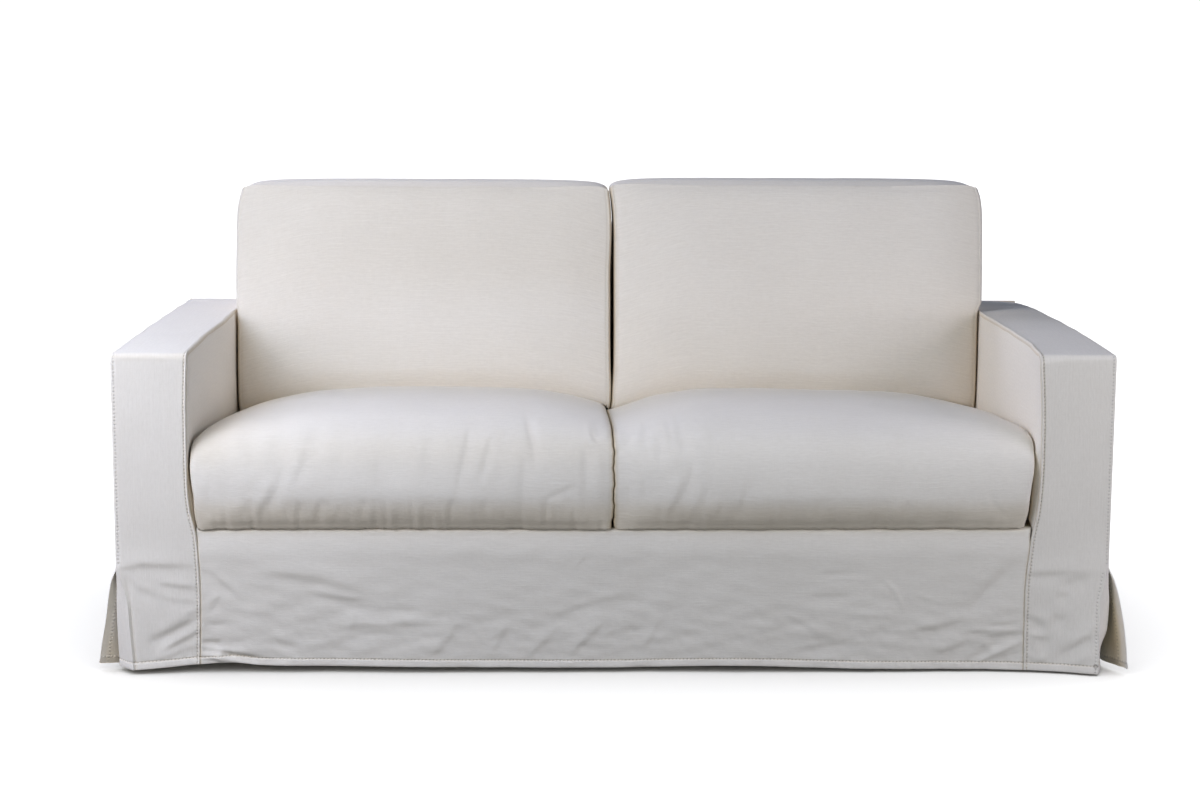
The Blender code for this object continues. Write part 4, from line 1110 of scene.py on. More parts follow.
    # the vent's vertical hem: pressed to a crease on the left, stitched on the right
    lower = np.nonzero(rows_z < VENT_TOP - 0.006)[0] if side > 0 else []
    line, nrm, where = [], [], []
    back_off = 0.0050
    for r in lower:
        xr = np.abs(grid[r, :, 0])
        at = abs(fold[r]) - back_off
        line.append([np.interp(at, xr, grid[r, :, k]) for k in range(3)])
        nrm.append([np.interp(at, xr, out[r, :, k]) for k in range(3)])
        where.append(np.interp(at, xr, across[r]))
    if side > 0:
        sewn = stitch_line(group, line, nrm, skip=0.003)
        run_on = np.insert(np.cumsum(np.linalg.norm(np.diff(np.array(line), axis=0), axis=1)), 0, 0.0)
        part = stitch[lower]
        mark(part, run_on[:, None], across[lower] - np.array(where)[:, None], *sewn)
        stitch[lower] = part
    made, _ = cloth_panel(name, grid, ways, weave, thick, {0: ways[:, 0]}, stitch)
    node = "arm_band_L" if side < 0 else "arm_band_R"
    finish_sheet(made, node, cover_cloth)
    return made


def flap_stand(side, height):
    vents = VENT_LEFT if side < 0 else VENT_RIGHT
    stand = np.where(height < VENT_TOP, np.maximum(0.0, table(vents, 0, 4, height) - ARM_OUT), 0.0)
    shift = np.where(height < VENT_TOP, table(vents, 0, 5, height) - CLOTH - SEAM, 0.0)
    return stand, shift


def flap_fade(length, d):
    """A flap stands out in a nearly straight line, then bends back to the arm."""
    k = 0.0035
    return np.log1p(np.exp((length - d) / k)) / np.log1p(np.exp(length / k))


def under_roll(z):
    centre, radius = ARM_TOP - ARM_ROLL, ARM_ROLL - CLOTH - SEAM
    return np.where(z <= centre, CLOTH + SEAM, ARM_ROLL - np.sqrt(np.maximum(0.0, radius**2 - (np.minimum(z, centre + radius) - centre) ** 2)))


ROLL_TOP = ARM_TOP - CLOTH - SEAM


def outside_arm(side):
    lows = hem_heights(HEM_MEAN, 0.262, 0.0085)
    heights = np.concatenate([lows, np.linspace(0.275, ARM_TOP - ARM_ROLL, 28),
                              ARM_TOP - ARM_ROLL + (ARM_ROLL - CLOTH - SEAM) * np.sin(np.radians([15, 30, 45, 60, 75, 90]))])
    front = CLOTH + SEAM
    d = np.concatenate([[0.0, 0.0008, 0.002, 0.0045, 0.008, 0.0105, 0.0115, 0.0125, 0.016, 0.021, 0.026, 0.030, 0.0345, 0.040, 0.046],
                        np.linspace(0.054, DEPTH - CLOTH - SEAM - front - 0.02, 84),
                        DEPTH - CLOTH - SEAM - front - np.array([0.012, 0.006, 0.003, 0.001, 0.0])])
    H, D = np.meshgrid(heights, d, indexing="ij")
    stand, shift = flap_stand(side, H)
    length = FLAP_SLANT[side] * stand + 0.004
    fade = flap_fade(length, D)
    Y = front + D + shift * fade
    Y = np.where(H > VENT_TOP, np.maximum(Y, under_roll(H) + 0.5 * D), Y)
    fall = np.clip(1.0 - H / 0.30, 0.0, 1.0)
    stand = stand + 0.0016 * step(0.19, 0.12, H) * np.sin(math.pi * np.clip(D / length, 0, 1)) * np.sin(30.0 * H + side)
    X = ARM_OUT + stand * fade + 0.003 * fall * np.sin(8.0 * Y + 1.2 * side) * (1 - fade)
    # soft upright falls of the skirt and a slight slackness above
    X += fall**1.2 * (1 - fade) * (0.0016 * np.sin(19.0 * Y + 0.7 + side) + wobble(Y, H * 0.3, 51 + side, 0.16, 0.0010))
    X += wobble(Y, H, 61 + side, 0.20, 0.0006) * step(0.60, 0.52, H) * step(0.0, 0.05, D)
    over = H - HEM_MEAN
    low = HEM_MEAN + 0.0025 * np.sin(11.0 * Y) + 0.002 * fade
    Z = np.where(H < VENT_TOP, VENT_TOP - (VENT_TOP - H) / (VENT_TOP - HEM_MEAN) * (VENT_TOP - low), H)
    crown_out = crown(side, 1.0, Y)
    Z = Z + crown_out * step(0.35, ROLL_TOP, H)
    X += (hem_relief(over) + puckers(Y, over, 8 + side)) * (D > 0.0)
    in_vent = step(VENT_TOP, VENT_TOP - 0.03, H)
    X += in_vent * (0.0009 * step(0.0125, 0.0105, D) - 0.0007 * bell(D - 0.0115, 0.0012))
    X += 0.0012 * in_vent * np.sin(34.0 * H + 1.0) * fade * (D < 0.05)
    tuck = step(VENT_TOP - 0.01, VENT_TOP + 0.01, H)
    X -= tuck * 0.0010 * bell(D, 0.0020) + 0.0010 * bell(DEPTH - Y - CLOTH, 0.003) + 0.0012 * bell(ROLL_TOP - H, 0.004)
    X = np.maximum(X, ARM_OUT - 0.0012)
    grid = np.stack([side * X, Y, Z], axis=2)
    weave = weave_grid(grid, along_rows=True, start=(0.3, 9.0 + side))
    thick = CLOTH + 0.0005 * step(HEM_STITCH + 0.001, HEM_STITCH - 0.001, over)
    name = "arm_side_L" if side < 0 else "arm_side_R"
    out = np.zeros(grid.shape) + (side, 0.0, 0.0)
    across, along = lengths(grid, 1), lengths(grid, 0)
    stitch = no_stitch(grid)
    # painted shade, darker and warmer, on the inner faces of the vent flaps near their front edges
    if side < 0:
        inside = 0.15 * step(0.10, 0.03, H)
    else:
        inside = 0.36 * step(VENT_TOP - 0.02, VENT_TOP - 0.09, H) * (1.0 - 0.45 * step(0.06, 0.02, H))
    add_painted_shade(stitch, inside * step(VENT_TOP, VENT_TOP - 0.05, H) * step(0.003, 0.012, D) * step(0.06, 0.03, D))
    group = "stitches_side_L" if side < 0 else "stitches_side_R"
    row = int(np.argmin(abs(heights - HEM_MEAN - HEM_STITCH)))
    sewn = stitch_line(group, grid[row], out[row], skip=0.003)
    mark(stitch, across[row][None, :], along - along[row], *sewn)
    col = int(np.argmin(abs(d - 0.0115)))
    rows = np.nonzero(heights < VENT_TOP - 0.006)[0]
    sewn = stitch_line(group, grid[rows, col], out[rows, col], skip=0.004)
    part = stitch[rows]
    mark(part, along[rows, col][:, None], across[rows] - across[rows, col][:, None], *sewn)
    stitch[rows] = part
    made, _ = cloth_panel(name, grid, (-side, 0, 0), weave, thick, None, stitch)
    node = "outside_arm_L" if side < 0 else "outside_arm_R"
    finish_sheet(made, node, cover_cloth)
    return made


def inside_arm(side):
    inside = ARM_IN_L if side < 0 else ARM_IN_R
    low = DECK_TOP - CLOTH
    heights = np.concatenate([np.linspace(low, ARM_TOP - ARM_ROLL - 0.004, 40),
                              ARM_TOP - ARM_ROLL + (ARM_ROLL - CLOTH - SEAM) * np.sin(np.radians([0, 15, 30, 45, 60, 75, 90]))])
    shares = np.concatenate([[0, 0.001, 0.003, 0.006, 0.011, 0.018], np.linspace(0.028, 1.0, 70)])
    H, S = np.meshgrid(heights, shares, indexing="ij")
    wide = ARM_ROLL + INNER_ROLL[side]
    centre = ARM_TOP - wide
    start = np.where(H <= centre, CLOTH + SEAM, wide - np.sqrt(np.maximum(0.0, (wide - CLOTH - SEAM) ** 2 - (np.minimum(H, centre + wide) - centre) ** 2)))
    Y = start + S * (BACK_FACE_LOW - 0.0003 - start)
    relief = wobble(Y, H, 71 + side, 0.14, 0.0007) * step(0.0, 0.06, S) * step(0.0, 0.03, ROLL_TOP - H)
    # padding presses the cloth out a little towards the seat, most in the middle of the panel
    swell = 0.0010 * np.sin(math.pi * np.clip(S, 0, 1)) * step(0.29, 0.42, H) * step(ROLL_TOP, 0.56, H)
    if side > 0:
        relief = relief - 0.0008 * step(0.35, 0.8, S) * step(0.42, 0.55, H)   # drawn back beside the back cushion
    flare = inside - np.abs(seam_x(side, H)) - 0.0002
    X = inside - relief - swell + 0.0012 * bell(ROLL_TOP - H, 0.003) + 0.0010 * bell(Y - start, 0.0025)
    low_way = np.clip((DECK_START - Y) / (DECK_START - DECK_ROLL), 0.0, 1.0)
    X = X - flare * (step(0.16, 0.0, Y) * step(0.34, 0.40, H) + low_way * step(0.40, 0.34, H))
    # loose cloth swells into the gap beside the front of the seat cushion
    end = np.abs(ends(SEAT_END_ROWS, side, H)[0])
    spare = np.clip(inside - end - 0.0016, 0.0, 0.010) * step(0.47, 0.42, H) * step(0.283, 0.296, H)
    X = X - spare * step(0.0, 0.018, Y) * step(0.13, 0.04, Y)
    Z = H + crown(side, 0.0, Y) * step(0.40, ROLL_TOP, H)
    Z[-1] = np.minimum(Z[-1], ROLL_TOP + crown(side, 0.0, Y[-1]) - 0.0002)
    grid = np.stack([side * X, Y, Z], axis=2)
    weave = weave_grid(grid, along_rows=False, start=(0.3, 12.0 + side))
    name = "arm_inner_L" if side < 0 else "arm_inner_R"
    made, out = cloth_panel(name, grid, (side, 0, 0), weave)
    node = "inside_arm_L" if side < 0 else "inside_arm_R"
    finish_sheet(made, node, cover_cloth)
    return made


def back_face(z):
    return BACK_FACE_LOW + (z - DECK_TOP) / (BACK_TOP - DECK_TOP) * (BACK_FACE_HIGH - BACK_FACE_LOW)


def hidden_panels():
    """Seat deck, inside back, and the strip round the back's edge."""
    # seat deck
    xs = np.linspace(-ARM_IN_L + SEAM, ARM_IN_R - SEAM, 90)
    ys = np.linspace(DECK_START, BACK_FACE_LOW - 0.001, 44)
    X, Y = np.meshgrid(xs, ys, indexing="xy")
    Z = DECK_TOP - 0.0004 - np.abs(wobble(X, Y, 81, 0.3, 0.0002))
    grid = np.stack([X, Y, Z], axis=2)
    made, _ = cloth_panel("deck_panel", grid, (0, 0, -1), weave_grid(grid, start=(0, 15.0)), CLOTH - 0.0004)
    finish_sheet(made, "seat_deck", deck_cloth)
    # inside back
    zs = np.concatenate([np.linspace(DECK_TOP - CLOTH, BACK_TOP - 0.012, 40), [BACK_TOP - 0.006, BACK_TOP - 0.002, BACK_TOP]])
    X, Z = np.meshgrid(xs, zs, indexing="xy")
    Y = back_face(Z) + np.abs(wobble(X, Z, 83, 0.25, 0.0003)) + 0.0008 * bell(BACK_TOP - Z, 0.003)
    grid = np.stack([X, Y, Z], axis=2)
    made, _ = cloth_panel("back_inner", grid, (0, 1, 0), weave_grid(grid, start=(0, 17.0)), 0.0020)
    finish_sheet(made, "inside_back", deck_cloth)
    # strip round the back's edge
    left, right = -ARM_IN_L + SEAM, ARM_IN_R - SEAM
    foot, roll = ARM_TOP + 0.0005, 0.012
    path = [(left, z, 1.0, 0.0) for z in np.linspace(foot, BACK_TOP - roll, 24)]
    for a in np.radians([15, 30, 45, 60, 75]):
        path.append((left + roll * (1 - math.cos(a)), BACK_TOP - roll * (1 - math.sin(a)), math.cos(a), -math.sin(a)))
    path += [(x, BACK_TOP, 0.0, -1.0) for x in np.linspace(left + roll, right - roll, 150)]
    for a in np.radians([75, 60, 45, 30, 15]):
        path.append((right - roll * (1 - math.cos(a)), BACK_TOP - roll * (1 - math.sin(a)), -math.cos(a), -math.sin(a)))
    path += [(right, z, -1.0, 0.0) for z in np.linspace(BACK_TOP - roll, foot, 24)]
    path = np.array(path)
    rear = DEPTH - CLOTH - SEAM
    shares = np.concatenate([[0, 0.01, 0.03, 0.06], np.linspace(0.1, 0.9, 16), [0.94, 0.97, 0.99, 1.0]])
    P, S = path[:, None, :], shares[None, :]
    y0 = back_face(P[..., 1]) + CLOTH + SEAM
    Y = y0 + S * (rear - y0)
    pull = 0.0010 * (bell(Y - y0, 0.003) + bell(rear - Y, 0.003)) + 0.0006 * (1 + np.sin(9 * P[..., 0] + 5 * Y))
    X = P[..., 0] + P[..., 2] * pull
    Z = P[..., 1] + P[..., 3] * pull
    grid = np.stack([X, Y, Z], axis=2)
    ways = np.stack([np.broadcast_to(P[..., 2], X.shape), np.zeros_like(X), np.broadcast_to(P[..., 3], X.shape)], axis=2)
    made, _ = cloth_panel("back_strip", grid, ways, weave_grid(grid, along_rows=True, start=(0, 19.0)), 0.0020)
    finish_sheet(made, "back_boxing", cover_cloth)


def outside_back():
    """The outside back: one flat panel with a step down to the arms' height at each side."""
    heights = np.concatenate([hem_heights(HEM_MEAN, 0.30, 0.0085), np.linspace(0.312, ARM_TOP, 28),
                              np.linspace(ARM_TOP + 0.004, BACK_TOP - 0.002, 18), [BACK_TOP]])
    left, right = -ARM_IN_L + SEAM, ARM_IN_R - SEAM
    xs = np.concatenate([np.linspace(-ARM_OUT, left - 0.002, 16), np.linspace(left, right, 170), np.linspace(right + 0.002, ARM_OUT, 16)])
    H, X = np.meshgrid(heights, xs, indexing="ij")
    fall = np.clip(1.0 - H / 0.45, 0, 1)
    low = HEM_MEAN + 0.002 * np.sin(7.0 * X)
    Z = np.where(H < VENT_TOP, VENT_TOP - (VENT_TOP - H) / (VENT_TOP - HEM_MEAN) * (VENT_TOP - low), H)
    relief = fall**1.3 * (wobble(X, H * 0.25, 91, 0.17, 0.0016)) + wobble(X, H, 92, 0.22, 0.0005)
    relief += hem_relief(H - HEM_MEAN) + puckers(X, H - HEM_MEAN, 12)
    relief = np.where(H > 0.0, relief, 0)
    Y = DEPTH + relief
    top = np.where((X < left) | (X > right), ARM_TOP, BACK_TOP)
    edge = np.minimum(top - H, np.where(H > ARM_TOP, np.minimum(X - left, right - X), ARM_OUT - np.abs(X)))
    Y = Y - 0.0010 * bell(np.maximum(edge, 0), 0.004)
    grid = np.stack([X, Y, Z], axis=2)
    normal = np.array([0.0, 1.0, 0.0])
    rows, cols = H.shape
    keep = np.zeros((rows - 1, cols - 1), bool)
    hi = heights[1:][:, None]
    xa, xb = xs[:-1][None, :], xs[1:][None, :]
    keep = (hi <= ARM_TOP + 1e-6) | ((xa >= left - 1e-6) & (xb <= right + 1e-6))
    n = rows * cols
    idx = grid_faces(rows, cols).reshape(rows - 1, cols - 1, 4)
    outer = idx[keep]
    inner = outer[:, ::-1] + n
    # rim faces where a kept cell borders an empty one
    faces = [outer, inner]
    pad = np.zeros((rows + 1, cols + 1), bool)
    pad[1:-1, 1:-1] = keep
    k = pad[1:-1, 1:-1]
    for dr, dc, pair in ((-1, 0, (0, 1)), (1, 0, (2, 3)), (0, -1, (3, 0)), (0, 1, (1, 2))):
        near = pad[1 + dr:rows + dr, 1 + dc:cols + dc]
        border = k & ~near
        q = idx[border]
        a, b = q[:, pair[0]], q[:, pair[1]]
        faces.append(np.stack([b, a, a + n, b + n], axis=1))
    faces = np.concatenate(faces)
    points = np.concatenate([grid.reshape(-1, 3), (grid - normal * CLOTH).reshape(-1, 3)])
    weave = np.zeros(grid.shape)
    weave[..., 0], weave[..., 1] = X, 21.0 + Z
    weave = np.concatenate([weave.reshape(-1, 3)] * 2)
    used = np.unique(faces)
    remap = -np.ones(len(points), int)
    remap[used] = np.arange(len(used))
    faces = remap[faces]
    points, weave = points[used], weave[used]
    if solid_volume(points, faces) < 0:
        faces = faces[:, ::-1]
    reverse = np.zeros(len(faces), int)
    reverse[len(outer):len(outer) + len(inner)] = 1
    made = make_mesh("back_outer", points, faces, weave, reverse=reverse)
    row = int(np.argmin(abs(heights - HEM_MEAN - HEM_STITCH)))
    stitch_line("stitches_back", grid[row], np.broadcast_to(normal, grid[row].shape), skip=0.004)
    finish_sheet(made, "outside_back", cover_cloth)


# ------------------------------------------------------------------ cushions
def resample(points, count, density=None):
    """A polyline resampled to count points, evenly or by a density function of the share."""
    gaps = np.linalg.norm(np.diff(points, axis=0), axis=1)
    at = np.insert(np.cumsum(gaps), 0, 0.0)
    shares = np.linspace(0, 1, count) if density is None else density(count)
    return np.stack([np.interp(shares * at[-1], at, points[:, k]) for k in range(points.shape[1])], axis=1)


def rounded(points, steps=8):
    """Centripetal curve through a list of points."""
    p = np.asarray(points, float)
    p = np.concatenate([[2 * p[0] - p[1]], p, [2 * p[-1] - p[-2]]])
    made = []
    for i in range(1, len(p) - 2):
        a, b, c, d = p[i - 1], p[i], p[i + 1], p[i + 2]
        t0 = 0.0
        t1 = t0 + max(np.linalg.norm((b - a)[:2]), 1e-6) ** 0.5
        t2 = t1 + max(np.linalg.norm((c - b)[:2]), 1e-6) ** 0.5
        t3 = t2 + max(np.linalg.norm((d - c)[:2]), 1e-6) ** 0.5
        for t in np.linspace(t1, t2, steps, endpoint=False):
            a1 = (t1 - t) / (t1 - t0) * a + (t - t0) / (t1 - t0) * b
            a2 = (t2 - t) / (t2 - t1) * b + (t - t1) / (t2 - t1) * c
            a3 = (t3 - t) / (t3 - t2) * c + (t - t2) / (t3 - t2) * d
            b1 = (t2 - t) / (t2 - t0) * a1 + (t - t0) / (t2 - t0) * a2
            b2 = (t3 - t) / (t3 - t1) * a2 + (t - t1) / (t3 - t1) * a3
            made.append((t2 - t) / (t2 - t1) * b1 + (t - t1) / (t2 - t1) * b2)
    made.append(p[-2])
    return np.array(made)


def end_columns(side):
    return (1, 2) if side < 0 else (4, 3)


def ends(rows, side, z):
    """Outer and inner end of a cushion at heights z."""
    a, b = end_columns(side)
    return table(rows, 0, a, z), table(rows, 0, b, z)


SEAT = np.asarray(SEAT_ROWS, float)


def seat_profile(side, x):
    """The seat's section at x: y, z of each table row."""
    d_arm, d_split = max(0.0, 0.805 - side * x), max(0.0, side * x - 0.004)
    at_arm = 0.72 * math.exp(-d_arm / (0.115 if side < 0 else 0.140)) + 0.28 * math.exp(-d_arm / 0.010)
    if side < 0:
        at_split = 0.78 * math.exp(-d_split / 0.095) + 0.22 * math.exp(-d_split / 0.007)
    else:
        at_split = math.exp(-((d_split / 0.085) ** 1.5))
    z_arm = SEAT[:, 3] if side < 0 else SEAT[:, 4]
    z_mid = SEAT[:, 1] + (0.0040 * bell(SEAT[:, 0] - 0.54, 0.13) * (SEAT[:, 1] > 0.42) if side < 0 else 0.0)
    y = SEAT[:, 0] + min(1.0, at_arm + at_split) * (SEAT[:, 2] - SEAT[:, 0])
    z = z_mid + at_arm * (z_arm - z_mid) + at_split * (SEAT[:, 5] - z_mid)
    return np.stack([y, z], axis=1)


def seat_top(side, x, y):
    p = seat_profile(side, x)
    keep = (SEAT[:, 0] >= 0.05) & (SEAT[:, 0] <= 0.79) & (SEAT[:, 1] > 0.40)
    return float(np.interp(y, p[keep, 0], p[keep, 1]))


def section_shares(width, fine, count):
    """Shares across a cushion, close together near both sewn ends."""
    near = np.array(fine) / width
    middle = np.linspace(near[-1], 1 - near[-1], count)[1:-1]
    return np.concatenate([near, middle, 1 - near[::-1]])


END_STEPS = (0.0, 0.0005, 0.0012, 0.0022, 0.0034, 0.0048, 0.0064, 0.0082, 0.0104, 0.013, 0.0165, 0.021, 0.027)


def round_inset(e, r):
    """How far a surface has drawn in at distance e from the end of a rounding of radius r."""
    t = np.clip(1.0 - e / np.maximum(r, 1e-6), 0.0, 1.0)
    return r * (1.0 - np.sqrt(np.maximum(0.0, 1.0 - t**2)))


def ring_normals(ring):
    """Inward normals of a closed section given as y, z points."""
    t = np.roll(ring, -1, axis=0) - np.roll(ring, 1, axis=0)
    n = np.stack([-t[:, 1], t[:, 0]], axis=1)
    n /= np.maximum(np.linalg.norm(n, axis=1, keepdims=True), 1e-9)
    centre = ring.mean(axis=0)
    if ((centre - ring) * n).sum() < 0:
        n = -n
    return n


def cap_rings(ring3, centre, bulge, direction, end_x):
    """Rings that close an end, on the even surface that end_x gives."""
    made = []
    left_over = ring3[:, 0] - end_x(ring3[:, 1], ring3[:, 2])
    for scale in (0.985, 0.95, 0.88, 0.76, 0.6, 0.4, 0.2, 0.05):
        r = centre + (ring3 - centre) * scale
        r = r.copy()
        r[:, 0] = end_x(r[:, 1], r[:, 2]) + left_over * scale**6 + direction * bulge * (1 - scale**2)
        made.append(r)
    return made


def close_rings(name, rings, weave, stitch=None):
    """A closed mesh through rings, its two last rings shut by small fans of quads."""
    rings = np.asarray(rings)
    count, k = rings.shape[:2]
    faces = [grid_faces(count, k, wrap=True)]
    points = rings.reshape(-1, 3)
    weave = np.asarray(weave).reshape(-1, 3)
    quads = []
    for base, turn in ((0, False), ((count - 1) * k, True)):
        for i in range(k // 2 - 1):
            q = (base + i, base + i + 1, base + k - 2 - i, base + k - 1 - i)
            quads.append(q if turn else q[::-1])
    faces.append(np.array(quads))
    faces = np.concatenate(faces)
    if solid_volume(points, faces) < 0:
        faces = faces[:, ::-1]
    return make_mesh(name, points, faces, weave, 60, None if stitch is None else stitch.reshape(-1, 3))


def upsample(coarse, rows, cols, rows_at, cols_at):
    """A coarse grid of vectors read smoothly at finer places. cols wrap round."""
    def cubic(values, at, positions, wrap):
        n = len(at)
        idx = np.clip(np.searchsorted(at, positions, side="right") - 1, 0, n - 2)
        span_ = at[idx + 1] - at[idx]
        t = ((positions - at[idx]) / span_)[:, None, None]
        take = (lambda i: values[i % n]) if wrap else (lambda i: values[np.clip(i, 0, n - 1)])
        p0, p1, p2, p3 = take(idx - 1), take(idx), take(idx + 1), take(idx + 2)
        return 0.5 * (2 * p1 + (p2 - p0) * t + (2 * p0 - 5 * p1 + 4 * p2 - p3) * t**2 + (3 * p1 - p0 - 3 * p2 + p3) * t**3)
    a = cubic(coarse, rows_at, rows, False)
    b = cubic(a.transpose(1, 0, 2), cols_at, cols, False)
    return b.transpose(1, 0, 2)


def puff(points, ring_count, k, hold, pressure, cap, frames=20, spread=0.0):
    """Cloth pressure on a coarse closed net of the cushion; returns how far its points moved."""
    rings = points.reshape(ring_count, k, 3)
    weave = np.zeros((ring_count * k, 3))
    made = close_rings("puff_net", rings, weave)
    group = made.vertex_groups.new(name="hold")
    for level in np.unique(np.round(hold, 2)):
        if level <= 0:
            continue
        group.add([int(i) for i in np.nonzero(np.round(hold, 2) == level)[0]], float(level), "REPLACE")
    mod = made.modifiers.new("Cloth", "CLOTH")
    s = mod.settings
    s.quality = 6
    s.mass = 0.35
    s.tension_stiffness = s.compression_stiffness = 12
    s.shear_stiffness = 6
    s.bending_stiffness = 0.6
    s.use_pressure = True
    s.uniform_pressure_force = pressure
    s.effector_weights.gravity = 0.0
    s.vertex_group_mass = "hold"
    s.pin_stiffness = 1.0
    s.shrink_min = -spread
    mod.collision_settings.use_collision = False
    mod.point_cache.frame_start, mod.point_cache.frame_end = 1, frames
    scene = bpy.context.scene
    scene.frame_start, scene.frame_end = 1, frames
    for f in range(1, frames + 1):
        scene.frame_set(f)
    dg = bpy.context.evaluated_depsgraph_get()
    ev = made.evaluated_get(dg)
    co = np.empty(len(ev.data.vertices) * 3, np.float32)
    ev.data.vertices.foreach_get("co", co)
    moved = co.reshape(-1, 3).astype(float) + ORIGIN - points
    scene.frame_set(1)
    bpy.data.objects.remove(made, do_unlink=True)
    size = np.linalg.norm(moved, axis=1, keepdims=True)
    moved *= np.minimum(1.0, cap / np.maximum(size, 1e-9))
    moved[~np.isfinite(moved)] = 0
    return moved.reshape(ring_count, k, 3)


def seat_section(side, x, count=None):
    """Dense section of the seat at x: its curve, and the flat line that closes it underneath."""
    rows = seat_profile(side, x)
    curve = rounded(rows, 9)
    curve[:, 1] = np.maximum(curve[:, 1], DECK_TOP + CUSHION_REST)
    floor_z = DECK_TOP + CUSHION_REST
    back = curve[-1]
    y_line = np.linspace(back[0] - 0.012, curve[0][0] + 0.012, 40)
    flat = np.stack([y_line, np.full(40, floor_z)], axis=1)
    return curve, flat


REST_GAP = 0.0006
seat_trees = {}


def seat_height(side, x, y):
    """Height of the finished seat cushion's top at x, y."""
    tree = seat_trees[side]
    x = max(min(x, 0.803), -0.803)
    for shift in (0.0, -0.004, 0.004, -0.009, 0.009):
        hit = tree.ray_cast(Vector((x + shift, y, 0.60) - ORIGIN), Vector((0, 0, -1)))
        if hit[0] is not None:
            return float(hit[0][2] + ORIGIN[2])
    return seat_top(side, x, y)


def seat_cushion(side):
    shares = section_shares(0.80, END_STEPS, 190)
    n_front, n_top, n_back, n_flat = 62, 84, 18, 34
    rings, insets = [], []
    folds_here = SEAT_FOLDS_LEFT if side < 0 else SEAT_FOLDS_RIGHT
    for share in shares:
        x_ref = side * (0.805 - share * 0.801)
        curve, flat = seat_section(side, x_ref)
        # split the curve at fixed table rows, so that every ring has its points in like places
        k = lambda i: i * 9
        front = resample(curve[k(0):k(8) + 1], n_front)
        top = resample(curve[k(8):k(16) + 1], n_top)
        back = resample(curve[k(16):], n_back)
        ring = np.concatenate([front[:-1], top[:-1], back, resample(flat, n_flat)])
        rings.append(ring)
    rings = np.array(rings)                       # sections x points x (y, z)
    outer, inner = ends(SEAT_END_ROWS, side, rings[..., 1])
    # behind its front edge the cushion fills the seat out to the arms
    full = side * (0.8092 if side < 0 else 0.8125)
    outer = outer + 0.8 * (full - outer) * step(0.03, 0.16, rings[..., 0])
    width = np.abs(inner - outer)
    X = outer + shares[:, None] * (inner - outer)
    e_out = shares[:, None] * width
    e_in = (1 - shares[:, None]) * width
    normals = np.array([ring_normals(r) for r in rings])
    count = rings.shape[1]
    is_flat = np.arange(count) >= count - n_flat
    front_zone = step(0.13, 0.02, rings[..., 0])
    r_out = np.where(is_flat[None, :], 0.003, 0.0050)
    r_in = np.where(is_flat[None, :], 0.003, 0.0024)
    inset = round_inset(e_out, r_out) + round_inset(e_in, r_in)
    # the sewn seam round each end: a low raised welt with a line drawn in beside it
    for e, raised in ((e_out, 0.0008), (e_in, 0.0003)):
        welt = raised * (bell(e - 0.0036, 0.0014) - 0.9 * bell(e - 0.0068, 0.0015))
        inset = inset - np.where(is_flat[None, :], 0.0, welt)
    # lower corners at the front are rounded off
    low = step(0.325, 0.288, rings[..., 1]) * front_zone
    corner = 0.0035 * low
    X = X + np.sign(inner - outer) * corner * (bell(e_out, 0.012) - 0.5 * bell(e_in, 0.012))
    # both cushions' sewn edges at the split wander together
    wander = 0.0011 * np.sin(rings[..., 1] * 118.0 + 1.3) + 0.0006 * np.sin(rings[..., 1] * 310.0)
    X = X + wander * np.exp(-e_in / 0.010) * front_zone * (~is_flat)[None, :]
    P = np.stack([X, rings[..., 0] + normals[..., 0] * inset, rings[..., 1] + normals[..., 1] * inset], axis=2)
    # seen from above the front corners are a little rounded, more beside the arms
    deep, wide = (0.010, 0.008) if side < 0 else (0.014, 0.011)
    plan = round_inset(e_out / wide, 1.0) * deep + round_inset(e_in / 0.005, 1.0) * 0.0014
    P[..., 1] += plan * np.clip(1.0 - (P[..., 1] + 0.013) / 0.16, 0.0, 1.0)
    # folds on the front and the crown, small unevenness everywhere else
    relief = SEAT_FOLD_SCALE * folds(folds_here, P[..., 0], P[..., 2]) * step(0.16, 0.06, P[..., 1]) * (~is_flat)[None, :]
    top_zone = step(0.02, 0.12, P[..., 1]) * (~is_flat)[None, :]
    # a soft shoulder runs over the front corner beside the split
    shoulder = np.abs(P[..., 2] - (0.468 - 0.9 * np.clip(0.050 - e_in, 0.0, 0.05)))
    relief -= 0.0010 * bell(shoulder, 0.0050) * step(0.052, 0.030, e_in) * step(0.11, 0.04, P[..., 1]) * (~is_flat)[None, :]
    relief += top_zone * wobble(P[..., 0], P[..., 1], 101 + side, 0.16, 0.0008)
    relief += wobble(P[..., 0], P[..., 2] * 0.5, 103 + side, 0.07, 0.00030) * (~is_flat)[None, :]
    # gathers along the bottom front seam
    g = step(0.356, 0.305, P[..., 2]) * front_zone * (~is_flat)[None, :]
    relief += g * (wobble(P[..., 0], P[..., 2] * 0.20, 107 + side, 0.022, 0.00045) + wobble(P[..., 0], P[..., 2] * 0.4, 109 + side, 0.045, 0.00045))
    relief += front_zone * (~is_flat)[None, :] * wobble(P[..., 0], P[..., 2] * 0.4, 105 + side, 0.050, 0.00030)
    # bottom front seam: a welt along the edge
    along = np.arange(count)
    front_s = lengths(np.stack([np.zeros_like(P[..., 0]), P[..., 1], P[..., 2]], axis=2), 1)
    welt_f = 0.0006 * bell(front_s - 0.0225, 0.0030) - 0.0005 * bell(front_s - 0.0305, 0.0030)
    relief += np.where(is_flat[None, :], 0, welt_f)
    P[..., 1] -= normals[..., 0] * relief
    P[..., 2] -= normals[..., 1] * relief
    # the bottom seam droops over the rail in long shallow waves
    droop = (0.0062 + 0.0012 * np.sin(5.2 * P[..., 0] + 0.6) + (0.0012 if side < 0 else 0.0)) * step(0.330, 0.288, P[..., 2]) * step(0.012, 0.002, P[..., 1])
    P[..., 2] -= droop
